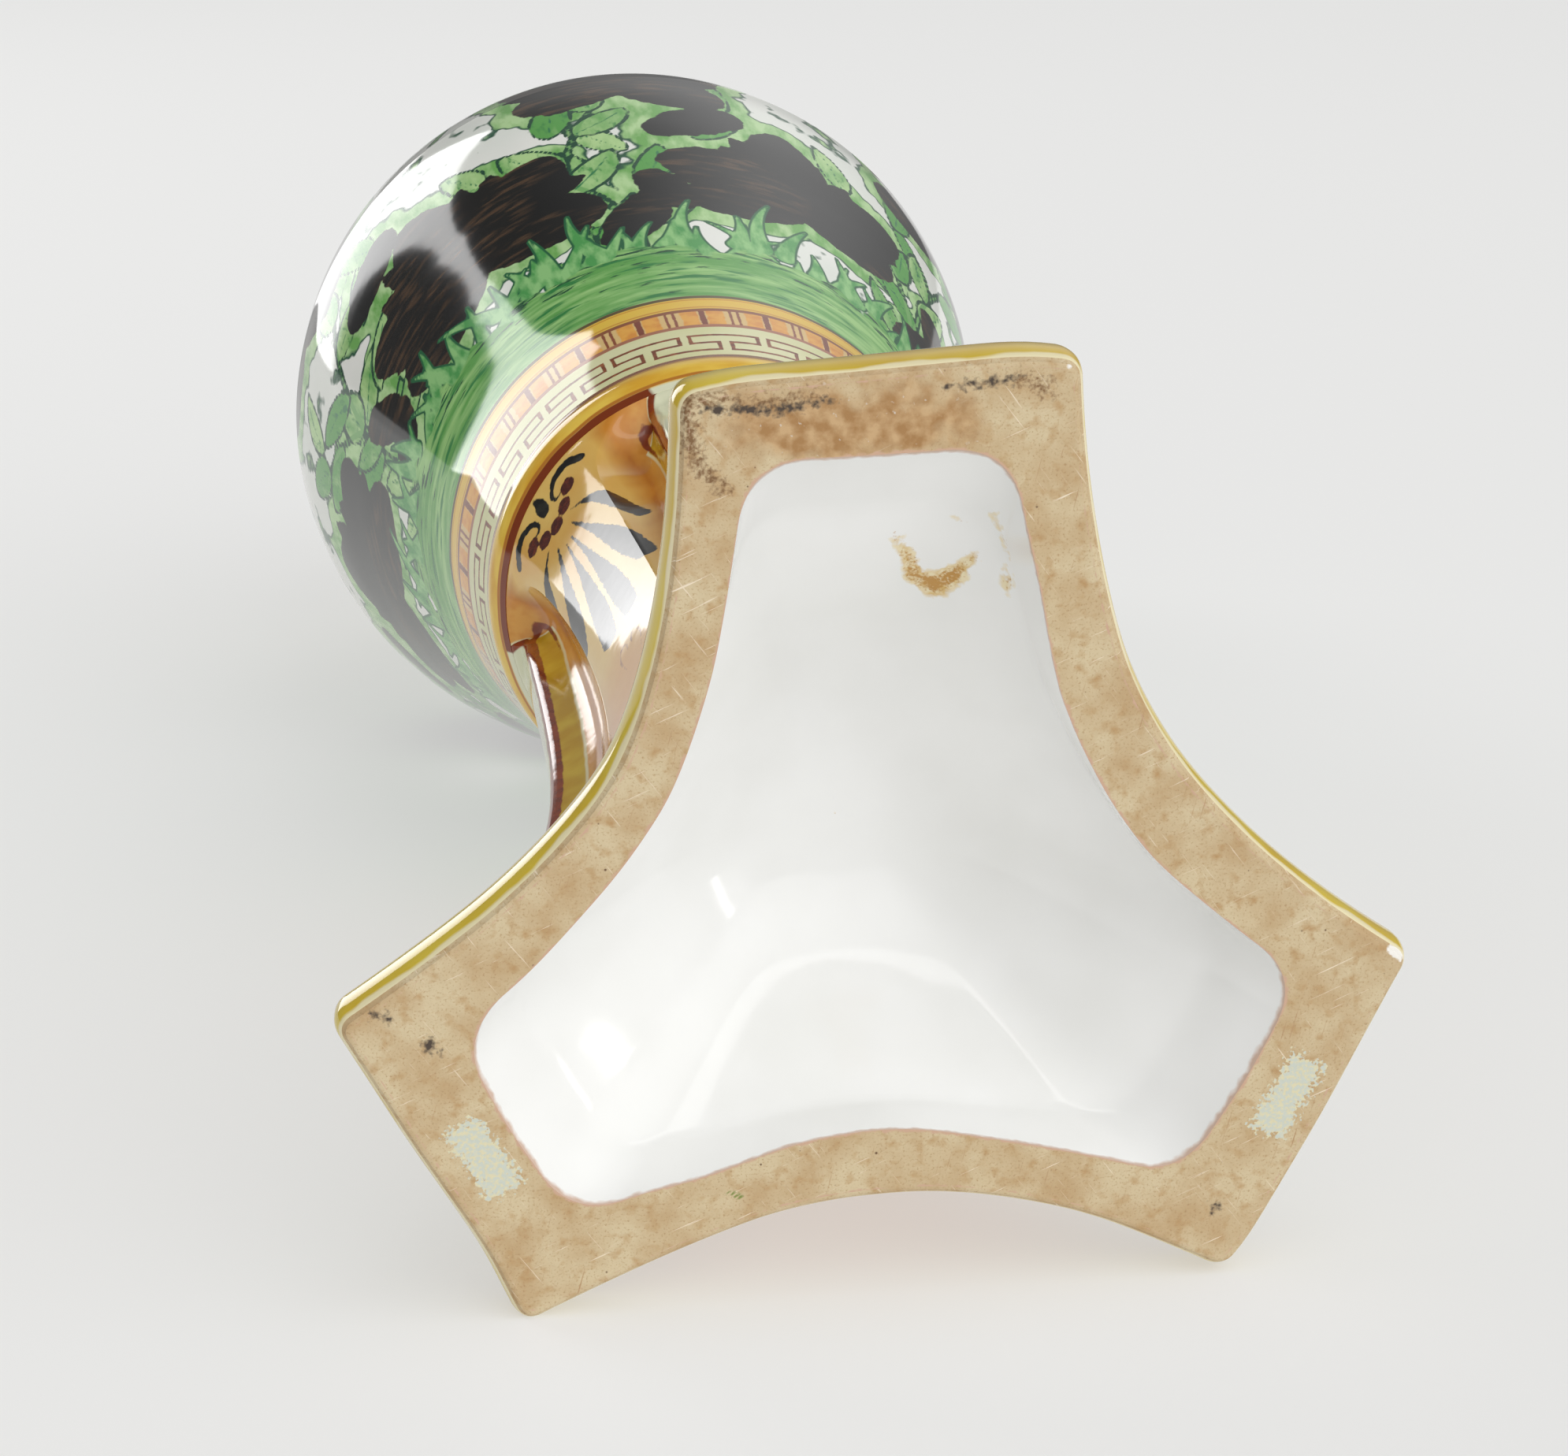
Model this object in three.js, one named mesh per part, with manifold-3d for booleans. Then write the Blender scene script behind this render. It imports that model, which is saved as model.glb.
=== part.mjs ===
// Two-handled amphora vase in tin-glazed earthenware, on a hollow three-armed foot.
// Units are millimetres, +Z points up, and the origin lies on the vase's axis where it stands.
// The vase is thrown and moulded in sections that are luted together and fired as one.

import * as THREE from 'three';
import { mergeVertices } from 'three/addons/utils/BufferGeometryUtils.js';
import Module from 'manifold-3d';

// Plinth: a three-armed slab with hollowed sides, open underneath
const plinthReach = 72; // axis to the middle of an arm's end, on the foot face
const plinthArmWidth = 52; // across an arm's end
const plinthWaist = 43.5; // axis to the middle of a hollowed side
const plinthHeight = 9.5;
const plinthSwell = 1.3; // how far the rounded edge stands out past the foot face
const plinthCorner = 2.2; // tangent length of the rounding at an arm's corner
const footRimEnd = 12; // bare clay rim across an arm's end
const footRimArm = 9; // bare clay rim beside an arm's end
const footRimSide = 9.5; // bare clay rim along a hollowed side

// Dish: the glazed hollow under the foot
const dishDepth = 36;
const dishCorner = 8.5; // tangent length of the rounding of a lobe's corners
const footWall = 7.5; // clay between the dish and the back of the legs or the panels

// Stem: legs and hollowed panels between the plinth and the collar
const stemHeight = 140.5;
const frontLedge = 3.5; // plinth top left bare in front of a leg
const sideLedge = 1.75; // the same beside a leg
const panelLedge = 2; // the same under a panel
const legWaistReach = 38.7; // axis to the front of a leg where it is slimmest
const legWidth = 26;
const legDepth = 16; // front of a leg to the core that it is luted on, at mid height
const legFootDepth = 8.6; // the same where the leg stands on the plinth
const legTopDepth = 3; // the same under the collar
const legCrown = 3.6; // how far the front of a leg falls away towards its edges
const legEdge = 2.4; // rounding of a leg's edges
const legShoulder = 0.9; // how much narrower a leg is at its back than at its edges
const lutingGap = 0.3; // between a leg or a handle and what it is luted on
const panelWaist = 24; // axis to the middle of a panel, less its flares
const panelTop = 38.2; // axis to the middle of a panel under the collar
const boreRadius = 15.5; // the stem is hollow above the dish
const dishRoof = 8; // clay between the dish and the bore

// Collar: the yellow ring between the stem and the body
const collarHeight = 9;
const collarRadius = 38.8;
const collarSwell = 1.6;

// Body: an egg-shaped vessel in two thrown halves
const bodyFootRadius = 41.3;
const bodyRadius = 71.6;
const bodyLowerHeight = 130.5; // collar to the widest place
const bodyUpperHeight = 71; // widest place to the neck
const bodyWall = 6;
const bodyFloor = 10;

// Neck with its mouth
const neckFootRadius = 30;
const neckRadius = 22.5;
const neckHeight = 79;
const neckWall = 4.5;
const neckBead = 2.2; // radius of the bead round the foot of the neck
const mouthRadius = 38;
const lipHeight = 6;

// Handles: flat straps from under the mouth to the shoulder
const handleInset = 13.6; // how far the strap's middle stays within the widest body
const handleWidth = 15;
const handleThickness = 8.5;
const handleDrop = 20; // top of the mouth to the strap's upper root
const handleFall = 15; // foot of the neck down to the strap's lower root
const handleSink = 7; // how far the strap runs into neck and body before it is cut back

// Counts of facets
const armCount = 3;
const sidePoints = 10;
const endPoints = 2;
const cornerPoints = 3;
const panelPoints = 13;
const bodySegments = 48;
const bodySteps = 11;
const collarSteps = 5;
const neckSegments = 36;
const neckSteps = 10;
const beadSteps = 4;
const lipSteps = 5;
const boreSegments = 24;
const strapSegments = 12;
const strapSteps = 20;

// Shapes as shares of the sizes that they follow, chosen by eye
const sidePowerShare = 1.6; // how a hollowed side curves: 2 would be a parabola
const plinthEdgeShares = [[0, 0], [0.12, 0.55], [0.4, 1], [0.75, 0.85], [1, -0.5]]; // height, swell
const plinthWallShares = [[0, 0], [0.4, 0.6]]; // height, way from the rim to the dish
const dishStepShares = [0.34, 0.5, 0.66, 0.8, 0.91];
const dishShrinkShare = 0.6; // power with which the dish closes towards its roof
const stemStepShares = [0, 0.04, 0.09, 0.15, 0.22, 0.31, 0.42, 0.55, 0.68, 0.79, 0.87, 0.93, 0.97, 1];
const legFlareShare = 0.18; // share of the stem's height in which the flare of a leg dies away
const panelFlareShare = 0.25;
const panelTopShare = 0.3; // the same for the flare towards the collar
const panelFlatShare = 0.1; // share of the height in which a panel's round top turns flat
const panelPowerShare = 3; // how a panel falls away to the creases beside the legs
const seatCoveShare = 0.03; // share of the height in which a crease runs out under the collar
const legSideShare = 0.2; // least part of a leg's depth that stays straight at its sides
const legFrontShares = [[0.4, 0.66], [0.1, 0.33]]; // fall of the crowned front, way out to the edge
const bodyLowerShares = [ // way out from foot to widest place, way up
  [0, 0], [0.085, 0.107], [0.16, 0.217], [0.275, 0.33], [0.45, 0.48],
  [0.65, 0.64], [0.835, 0.79], [0.955, 0.91], [1, 1],
];
const bodyUpperShares = [ // way out from neck to widest place, way up
  [1, 0], [0.98, 0.16], [0.93, 0.33], [0.84, 0.5], [0.69, 0.67], [0.47, 0.82], [0.2, 0.94], [0, 1],
];
const bodyFloorShare = 0.8; // flat part of the floor inside the body
const neckFlareShares = [[0.2, 0.22], [0, 0.45]]; // way out from waist to foot, way up the neck
const mouthFlareShare = [0.25, 0.72]; // way out from waist to mouth, way up the neck
const lipShares = [[0, 0.3], [-0.1, 0.65], [0.4, 1], [1, 0.7]]; // way in through the wall, way up the lip
const strapSquareShare = 0.6; // 1 would be an ellipse, 0 a rectangle
const strapShares = [ // way out from the upper root to the reach, way up between the roots
  [0.4, 1.07], [0.8, 1.02], [1, 0.8], [1, 0.52], [0.94, 0.26],
];

const turn = 2 * Math.PI;
const armTurn = turn / armCount;
const quarter = turn / 4;
const firstArm = quarter; // one arm points to +Y
const stemFoot = plinthHeight;
const stemTop = stemFoot + stemHeight;
const collarTop = stemTop + collarHeight;
const widest = collarTop + bodyLowerHeight;
const neckFoot = widest + bodyUpperHeight;
const mouthTop = neckFoot + neckHeight;

// A finished mesh with its material
const clay = (colour, roughness = 0.25) =>
  new THREE.MeshStandardMaterial({ color: colour, roughness, metalness: 0 });
const glazes = {
  plinth: clay(0xd3bc49, 0.3),
  panel: clay(0xdba63a),
  leg: clay(0xd5dcb2),
  collar: clay(0xd9b52e),
  body: clay(0x6aa86c),
  neck: clay(0xe6e7dc),
  handle: clay(0x2f7a47),
};

const vase = new THREE.Group();
const addPart = (name, geometry, material) => {
  const mesh = new THREE.Mesh(geometry, material);
  mesh.name = name;
  vase.add(mesh);
  return mesh;
};

// Faces are collected as loose triangles and merged at the end, so that rings meet exactly.
class Skin {
  constructor() {
    this.corners = [];
  }

  triangle(a, b, c) {
    for (const p of [a, b, c]) this.corners.push(p.x, p.y, p.z);
  }

  // Bands of quads between rings with the same number of points
  bands(rings) {
    for (let k = 0; k + 1 < rings.length; k += 1) {
      const [low, high] = [rings[k], rings[k + 1]];
      low.forEach((p, i) => {
        const j = (i + 1) % low.length;
        this.triangle(p, low[j], high[j]);
        this.triangle(p, high[j], high[i]);
      });
    }
  }

  // A fan that closes a ring at one point
  fan(ring, tip) {
    ring.forEach((p, i) => this.triangle(p, ring[(i + 1) % ring.length], tip));
  }

  // A flat face inside one outline, round an optional hole; it looks up unless it is turned down
  flat(outline, hole, down) {
    const plane = (ring) => ring.map((p) => new THREE.Vector2(p.x, p.y));
    const holes = hole ? [plane(hole)] : [];
    const points = hole ? [...outline, ...hole] : outline;
    const faces = THREE.ShapeUtils.triangulateShape(plane(outline), holes);
    const area = faces.reduce((sum, [a, b, c]) => sum
      + (points[b].x - points[a].x) * (points[c].y - points[a].y)
      - (points[b].y - points[a].y) * (points[c].x - points[a].x), 0);
    const looksDown = area < 0;
    for (const [a, b, c] of faces) {
      if (looksDown === Boolean(down)) this.triangle(points[a], points[b], points[c]);
      else this.triangle(points[a], points[c], points[b]);
    }
  }

  finish() {
    const geometry = new THREE.BufferGeometry();
    geometry.setAttribute('position', new THREE.Float32BufferAttribute(this.corners, 3));
    return mergeVertices(geometry);
  }
}

// The three-armed outline: straight ends, hollowed sides and rounded corners.
// It runs anticlockwise and each arm gives the same number of points.
function armOutline(reach, half, waist, rounding) {
  const points = [];
  const sideHalf = reach * Math.sin(armTurn / 2) - half * Math.cos(armTurn / 2);
  const sideRise = reach * Math.cos(armTurn / 2) + half * Math.sin(armTurn / 2) - waist;
  // A side that faces +X, with s from -1 to 1 along it
  const side = (s) => new THREE.Vector2(waist + sideRise * Math.abs(s) ** sidePowerShare, sideHalf * s);
  const trim = Math.min(rounding, sideHalf / 2, half / 2);
  const sideShare = 1 - trim / Math.hypot(sideHalf, sideRise * sidePowerShare);
  for (let arm = 0; arm < armCount; arm += 1) {
    const angle = firstArm + arm * armTurn;
    const local = [];
    const endAt = (v) => new THREE.Vector2(reach, v);
    for (let k = 0; k <= endPoints; k += 1) local.push(endAt((2 * k / endPoints - 1) * (half - trim)));
    const turned = (v, by) => v.clone().rotateAround(new THREE.Vector2(), by);
    const next = (s) => turned(side(s), armTurn / 2);
    const round = new THREE.QuadraticBezierCurve(endAt(half - trim), endAt(half), next(-sideShare));
    for (let k = 1; k <= cornerPoints; k += 1) local.push(round.getPoint(k / cornerPoints));
    for (let k = 1; k <= sidePoints; k += 1) local.push(next((2 * k / sidePoints - 1) * sideShare));
    const far = turned(new THREE.Vector2(reach, -half), armTurn);
    const farEnd = turned(new THREE.Vector2(reach, trim - half), armTurn);
    const back = new THREE.QuadraticBezierCurve(next(sideShare), far, farEnd);
    for (let k = 1; k < cornerPoints; k += 1) local.push(back.getPoint(k / cornerPoints));
    points.push(...local.map((v) => turned(v, angle)));
  }
  return points;
}

// An outline moved outwards by a distance, along the normals at its points
function swollen(outline, distance) {
  return outline.map((p, i) => {
    const before = outline[(i + outline.length - 1) % outline.length];
    const after = outline[(i + 1) % outline.length];
    const along = after.clone().sub(before).normalize();
    return new THREE.Vector2(p.x + along.y * distance, p.y - along.x * distance);
  });
}

const lifted = (outline, height) => outline.map((p) => new THREE.Vector3(p.x, p.y, height));

// The stem's section at a share of its height. All three flares die away like e to the minus t.
const fade = (t, share) => Math.exp(-t / share);
const blend = (middle, foot, t, share) => middle + (foot - middle) * fade(t, share);

function stemSection(t) {
  const front = blend(legWaistReach, plinthReach - frontLedge, t, legFlareShare);
  const half = blend(legWidth, plinthArmWidth - 2 * sideLedge, t, legFlareShare) / 2;
  const top = (legTopDepth - legDepth) * fade(1 - t, seatCoveShare);
  const depth = blend(legDepth, legFootDepth, t, legFlareShare) + top;
  const rise = (panelTop - panelWaist) * fade(1 - t, panelTopShare);
  const panel = blend(panelWaist, plinthWaist - panelLedge, t, panelFlareShare) + rise;
  return { front, half, depth, panel, seat: front - depth, seatHalf: half - legShoulder };
}

// Outline of the core: three flat seats for the legs and three panels. A panel is flat in the middle,
// round under the collar, and falls away to the creases beside the legs.
function coreOutline(t) {
  const { seat, seatHalf, panel } = stemSection(t);
  const corner = Math.hypot(seat, seatHalf);
  const cornerTurn = armTurn / 2 - Math.atan2(seatHalf, seat);
  const flatness = 1 - fade(1 - t, panelFlatShare);
  const face = (s) => panel * (1 + flatness * (1 / Math.cos(cornerTurn * s) - 1));
  const points = [];
  for (let arm = 0; arm < armCount; arm += 1) {
    const angle = firstArm + arm * armTurn;
    const at = (radius, turnBy) =>
      new THREE.Vector2(radius * Math.cos(angle + turnBy), radius * Math.sin(angle + turnBy));
    points.push(at(seat, 0));
    for (let k = 0; k <= panelPoints + 1; k += 1) {
      const s = 2 * k / (panelPoints + 1) - 1;
      const fall = (corner - face(1)) * Math.abs(s) ** panelPowerShare;
      points.push(at(face(s) + fall, armTurn / 2 + cornerTurn * s));
    }
  }
  return points;
}

// The dish at a share of its depth: the foot's outline less a wall, closing towards the roof
function dishRing(share) {
  const height = dishDepth * Math.sin(share * quarter);
  const shrink = Math.cos(share * quarter) ** dishShrinkShare;
  const t = Math.max(height - stemFoot, 0) / stemHeight;
  const { seat, seatHalf, panel } = stemSection(t);
  const inner = armOutline(seat - footWall, seatHalf - footWall, panel - footWall, dishCorner);
  return lifted(inner.map((p) => p.multiplyScalar(shrink)), height);
}

// Plinth: a closed band of rings round the foot, with a flat foot face and a flat top
function plinth() {
  const outline = armOutline(plinthReach, plinthArmWidth / 2, plinthWaist, plinthCorner);
  const outer = plinthEdgeShares.map(([height, swell]) =>
    lifted(swollen(outline, swell * plinthSwell), height * plinthHeight));
  const rim = armOutline(
    plinthReach - footRimEnd,
    plinthArmWidth / 2 - footRimArm,
    plinthWaist - footRimSide,
    dishCorner,
  );
  const mouthOfDish = dishRing(Math.asin(plinthHeight / dishDepth) / quarter);
  const wall = plinthWallShares.map(([height, way]) =>
    lifted(rim.map((p, i) => p.clone().lerp(mouthOfDish[i], way)), height * plinthHeight));
  const inner = [...wall, mouthOfDish.map((p) => p.setZ(plinthHeight))];
  const skin = new Skin();
  skin.bands(outer);
  skin.bands([...inner].reverse());
  skin.flat(outer[0], inner[0], true);
  skin.flat(outer.at(-1), mouthOfDish, false);
  return { geometry: skin.finish(), mouthOfDish };
}

// Stem core: hollowed panels outside, the dish below, a round bore above
function stemCore(mouthOfDish) {
  const outer = stemStepShares.map((t) => lifted(coreOutline(t), stemFoot + t * stemHeight));
  const dish = [mouthOfDish, ...dishStepShares.map(dishRing)];
  const boreFoot = dishDepth + dishRoof;
  const bore = [boreFoot, stemTop].map((z) => lifted(circle(boreRadius, boreSegments), z));
  const skin = new Skin();
  skin.bands(outer);
  skin.bands([...dish].reverse());
  skin.fan([...dish.at(-1)].reverse(), new THREE.Vector3(0, 0, dishDepth));
  skin.flat(outer[0], mouthOfDish, true);
  skin.flat(outer.at(-1), bore[1], false);
  skin.bands([...bore].reverse());
  skin.flat(bore[0], null, false);
  return skin.finish();
}

function circle(radius, segments) {
  return Array.from({ length: segments }, (_, k) => {
    const angle = firstArm + k * turn / segments;
    return new THREE.Vector2(radius * Math.cos(angle), radius * Math.sin(angle));
  });
}

// Section of a leg that points to +X: flat back, plain sides, rounded edges, crowned front
function legOutline(t) {
  const { front, half, depth, seat, seatHalf } = stemSection(t);
  const back = seat + lutingGap;
  const fall = Math.min(legCrown + legEdge, (depth - lutingGap) * (1 - legSideShare));
  const crown = fall * legCrown / (legCrown + legEdge);
  const edge = fall - crown;
  const bevel = edge * (1 - Math.SQRT1_2); // how far the middle of the rounding lies from the corner
  const right = [
    [back, seatHalf],
    [front - fall, half],
    [front - crown - bevel, half - bevel],
    [front - crown, half - edge],
    ...legFrontShares.map(([down, out]) => [front - crown * down, half * out]),
  ];
  const left = right.map(([x, y]) => [x, -y]);
  return [...left, [front, 0], ...[...right].reverse()].map(([x, y]) => new THREE.Vector2(x, y));
}

function leg(arm) {
  const angle = firstArm + arm * armTurn;
  const rings = stemStepShares.map((t) => {
    const outline = legOutline(t).map((p) => p.rotateAround(new THREE.Vector2(), angle));
    return lifted(outline, stemFoot + t * stemHeight);
  });
  const skin = new Skin();
  skin.bands(rings);
  skin.flat(rings[0], null, true);
  skin.flat(rings.at(-1), null, false);
  return skin.finish();
}

// Turned pieces: a profile of [radius, height] points that closes on itself or runs between two
// points on the axis
function revolve(profile, segments) {
  const onAxis = profile[0][0] === 0 && profile.at(-1)[0] === 0;
  const closed = onAxis ? profile : [...profile, profile[0]];
  const lathe = new THREE.LatheGeometry(closed.map(([r, z]) => new THREE.Vector2(r, z)), segments);
  lathe.rotateX(quarter);
  lathe.deleteAttribute('normal');
  lathe.deleteAttribute('uv');
  return mergeVertices(lathe);
}

// Points along a smooth curve through [radius, height] places
function smooth(places, count) {
  const curve = new THREE.SplineCurve(places.map(([r, z]) => new THREE.Vector2(r, z)));
  return curve.getPoints(count).map((p) => [p.x, p.y]);
}

// A profile moved towards the axis by a wall thickness, measured square to the profile
function inside(profile, wall) {
  return profile.map(([r, z], i) => {
    const [r0, z0] = profile[Math.max(i - 1, 0)];
    const [r1, z1] = profile[Math.min(i + 1, profile.length - 1)];
    const length = Math.hypot(r1 - r0, z1 - z0);
    return [r - wall * (z1 - z0) / length, z + wall * (r1 - r0) / length];
  });
}

// Collar: a ring with a swelling edge and the same bore as the stem
function collar() {
  const middle = (collarRadius + bodyFootRadius) / 2 + collarSwell;
  const edge = smooth([
    [collarRadius, stemTop],
    [middle, (stemTop + collarTop) / 2],
    [bodyFootRadius, collarTop],
  ], collarSteps);
  return revolve([[boreRadius, stemTop], ...edge, [boreRadius, collarTop]], bodySegments);
}

// Outer profiles of the body's two halves
const lowerProfile = smooth(bodyLowerShares.map(([out, up]) => [
  bodyFootRadius + out * (bodyRadius - bodyFootRadius),
  collarTop + up * bodyLowerHeight,
]), bodySteps);
const upperProfile = smooth(bodyUpperShares.map(([out, up]) => [
  neckFootRadius + out * (bodyRadius - neckFootRadius),
  widest + up * bodyUpperHeight,
]), bodySteps);

function bodyLower() {
  const floor = collarTop + bodyFloor;
  const wall = inside(lowerProfile, bodyWall).filter(([, z]) => z > floor + bodyWall);
  wall[wall.length - 1] = [bodyRadius - bodyWall, widest];
  const foot = bodyFootRadius - bodyWall;
  const inner = [[0, floor], [foot * bodyFloorShare, floor], [foot, floor + bodyWall / 2], ...wall];
  return revolve([[0, collarTop], ...lowerProfile, ...inner.reverse()], bodySegments);
}

function bodyUpper() {
  const throat = neckFootRadius - neckWall;
  const wall = inside(upperProfile, bodyWall).slice(1).filter(([r]) => r > throat);
  const inner = [[bodyRadius - bodyWall, widest], ...wall, [throat, neckFoot]];
  return revolve([...upperProfile, ...inner.reverse()], bodySegments);
}

// Neck: a bead at the foot, a slim waist and an everted mouth with a rounded lip
const neckBeadTop = neckFoot + 2 * neckBead;
const neckProfile = smooth([
  [neckFootRadius - neckBead, neckBeadTop],
  ...neckFlareShares.map(([out, up]) => [
    neckRadius + out * (neckFootRadius - neckRadius),
    neckFoot + up * neckHeight,
  ]),
  [
    neckRadius + mouthFlareShare[0] * (mouthRadius - neckRadius),
    neckFoot + mouthFlareShare[1] * neckHeight,
  ],
  [mouthRadius - neckWall / 2, mouthTop - lipHeight],
], neckSteps);

function neck() {
  const bead = Array.from({ length: beadSteps }, (_, k) => {
    const angle = (2 * k / beadSteps - 1) * quarter;
    return [
      neckFootRadius - neckBead + neckBead * Math.cos(angle),
      neckFoot + neckBead + neckBead * Math.sin(angle),
    ];
  });
  const lip = smooth(lipShares.map(([way, up]) => [
    mouthRadius - way * neckWall,
    mouthTop - lipHeight + up * lipHeight,
  ]), lipSteps);
  const wall = inside(neckProfile, neckWall).slice(1, -1);
  const throat = [neckFootRadius - neckWall, neckFoot];
  return revolve([...bead, ...neckProfile, ...lip, ...wall.reverse(), throat], neckSegments);
}

// Handles: a strap carried along a curve from the neck to the shoulder, then cut back to both
const wasm = await Module();
wasm.setup();

function solid(geometry) {
  const merged = mergeVertices(geometry);
  return new wasm.Manifold(new wasm.Mesh({
    numProp: 3,
    vertProperties: new Float32Array(merged.attributes.position.array),
    triVerts: new Uint32Array(merged.index.array),
  }));
}

function geometryOf(shape) {
  const mesh = shape.getMesh();
  const geometry = new THREE.BufferGeometry();
  geometry.setAttribute('position', new THREE.Float32BufferAttribute(mesh.vertProperties, 3));
  geometry.setIndex(new THREE.Uint32BufferAttribute(mesh.triVerts, 1));
  return geometry;
}

// Where a profile reaches a height, and a point that lies deeper by a distance, square to the profile
function rootOn(profile, height) {
  const k = profile.findIndex(([, z], i) => i > 0 && z >= height);
  const [low, high] = [profile[k - 1], profile[k]].map(([r, z]) => new THREE.Vector3(r, 0, z));
  const along = high.clone().sub(low);
  const place = low.clone().addScaledVector(along, (height - low.z) / along.z);
  const inwards = new THREE.Vector3(-along.z, 0, along.x).normalize();
  return { place, sunk: place.clone().addScaledVector(inwards, handleSink) };
}

function strap() {
  const upper = rootOn(neckProfile, mouthTop - handleDrop);
  const lower = rootOn(upperProfile, neckFoot - handleFall);
  const bends = strapShares.map(([out, up]) => new THREE.Vector3(
    upper.place.x + out * (bodyRadius - handleInset - upper.place.x),
    0,
    lower.place.z + up * (upper.place.z - lower.place.z),
  ));
  const path = new THREE.CatmullRomCurve3([upper.sunk, ...bends, lower.place, lower.sunk]);
  const rounded = (value) => Math.sign(value) * Math.abs(value) ** strapSquareShare;
  const rings = Array.from({ length: strapSteps + 1 }, (_, k) => {
    const centre = path.getPointAt(k / strapSteps);
    const along = path.getTangentAt(k / strapSteps);
    const across = new THREE.Vector3(along.z, 0, -along.x);
    return Array.from({ length: strapSegments }, (__, i) => {
      const angle = i * turn / strapSegments;
      const ring = centre.clone();
      ring.addScaledVector(across, handleThickness / 2 * rounded(Math.cos(angle)));
      ring.y += handleWidth / 2 * rounded(Math.sin(angle));
      return ring;
    });
  });
  const skin = new Skin();
  skin.bands(rings);
  skin.fan([...rings[0]].reverse(), path.getPoint(0));
  skin.fan(rings.at(-1), path.getPoint(1));
  return skin.finish();
}

// The neck and the shoulder as one solid plug, a luting gap larger than the real ones
function plug() {
  const shoulder = inside(upperProfile, -lutingGap);
  const throat = inside(neckProfile, -lutingGap);
  const waist = [[neckFootRadius + lutingGap, neckFoot], [neckFootRadius + lutingGap, neckBeadTop]];
  const profile = [[0, widest], ...shoulder.slice(0, -1), ...waist, ...throat, [0, throat.at(-1)[1]]];
  return revolve(profile, bodySegments);
}

const base = plinth();
addPart('plinth', base.geometry, glazes.plinth);
addPart('stem_core', stemCore(base.mouthOfDish), glazes.panel);
['leg_rear', 'leg_left', 'leg_right'].forEach((name, arm) => addPart(name, leg(arm), glazes.leg));
addPart('stem_collar', collar(), glazes.collar);
addPart('body_lower', bodyLower(), glazes.body);
addPart('body_upper', bodyUpper(), glazes.body);
addPart('neck', neck(), glazes.neck);

const rightStrap = solid(strap()).subtract(solid(plug()));
addPart('handle_right', geometryOf(rightStrap), glazes.handle);
const leftHandle = addPart('handle_left', geometryOf(rightStrap), glazes.handle);
leftHandle.rotation.z = turn / 2;

export default vase;
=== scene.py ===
# %% [markdown]
# # An amphora vase in tin-glazed earthenware
# The vase lies on its side, and the camera looks along it from below its hollow foot.
# Its sections were thrown or moulded, luted together with slip, dipped in white tin glaze,
# painted and fired once more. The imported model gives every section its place, so it comes first.

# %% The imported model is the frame
import math

import bpy
import numpy as np
from mathutils import Matrix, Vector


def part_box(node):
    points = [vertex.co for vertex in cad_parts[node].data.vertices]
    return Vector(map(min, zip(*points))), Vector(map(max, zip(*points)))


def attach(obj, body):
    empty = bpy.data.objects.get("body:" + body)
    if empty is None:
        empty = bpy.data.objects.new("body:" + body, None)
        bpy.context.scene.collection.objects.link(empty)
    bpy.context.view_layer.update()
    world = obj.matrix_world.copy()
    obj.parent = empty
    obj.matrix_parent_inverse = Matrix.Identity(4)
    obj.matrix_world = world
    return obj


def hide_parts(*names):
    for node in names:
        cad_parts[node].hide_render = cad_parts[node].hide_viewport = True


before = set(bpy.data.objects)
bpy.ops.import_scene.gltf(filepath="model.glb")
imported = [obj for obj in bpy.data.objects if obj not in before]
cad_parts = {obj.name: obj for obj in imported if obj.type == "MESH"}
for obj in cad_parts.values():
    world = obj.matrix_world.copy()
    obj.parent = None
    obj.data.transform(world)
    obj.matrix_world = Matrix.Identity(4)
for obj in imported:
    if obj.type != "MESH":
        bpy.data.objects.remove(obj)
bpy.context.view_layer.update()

MM = 0.001


def top_of(node):
    """The height of a node's highest point, in mm."""
    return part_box(node)[1][2] / MM


def linked(name, data):
    """A new object with its data, linked to the scene."""
    thing = bpy.data.objects.new(name, data)
    bpy.context.scene.collection.objects.link(thing)
    return thing


stem_foot = top_of("plinth")
stem_top = top_of("stem_core")
collar_top = top_of("stem_collar")
widest = top_of("body_lower")
neck_foot = top_of("body_upper")
mouth_top = top_of("neck")
print("levels in mm:", stem_foot, stem_top, collar_top, widest, neck_foot, mouth_top)

# %% [markdown]
# ## The camera
# The photograph was taken from in front of the foot, a little above the table. The three axes of
# the view were fitted to the foot's corners and the painted rings, and are given in the vase's frame.

# %% Camera
photo_width = 1990
focal_length_px = 4450
sensor_width = 36.0
view_right = (-0.98815, -0.00882, -0.15324)
view_up = (-0.05662, 0.9489, 0.31044)
view_back = (0.14267, 0.31544, -0.93816)
camera_place = np.array([79.08, 171.97, -435.4]) * MM

camera_data = bpy.data.cameras.new("camera")
camera_data.sensor_width = sensor_width
camera_data.lens = focal_length_px / photo_width * sensor_width
camera = linked("camera", camera_data)
axes = Matrix((view_right, view_up, view_back)).transposed().to_4x4()
camera.matrix_world = Matrix.Translation(camera_place) @ axes
bpy.context.scene.camera = camera
bpy.context.scene.view_settings.view_transform = "Standard"

# %% [markdown]
# ## Meshes from rings of points
# Every section is a skin through rings of points. A skin could be spun or swept by Blender's tools,
# but arrays of points keep the painter's coordinates at hand, so the rings are computed with numpy.

# %% Skin through rings
crease = math.radians(40)


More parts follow.
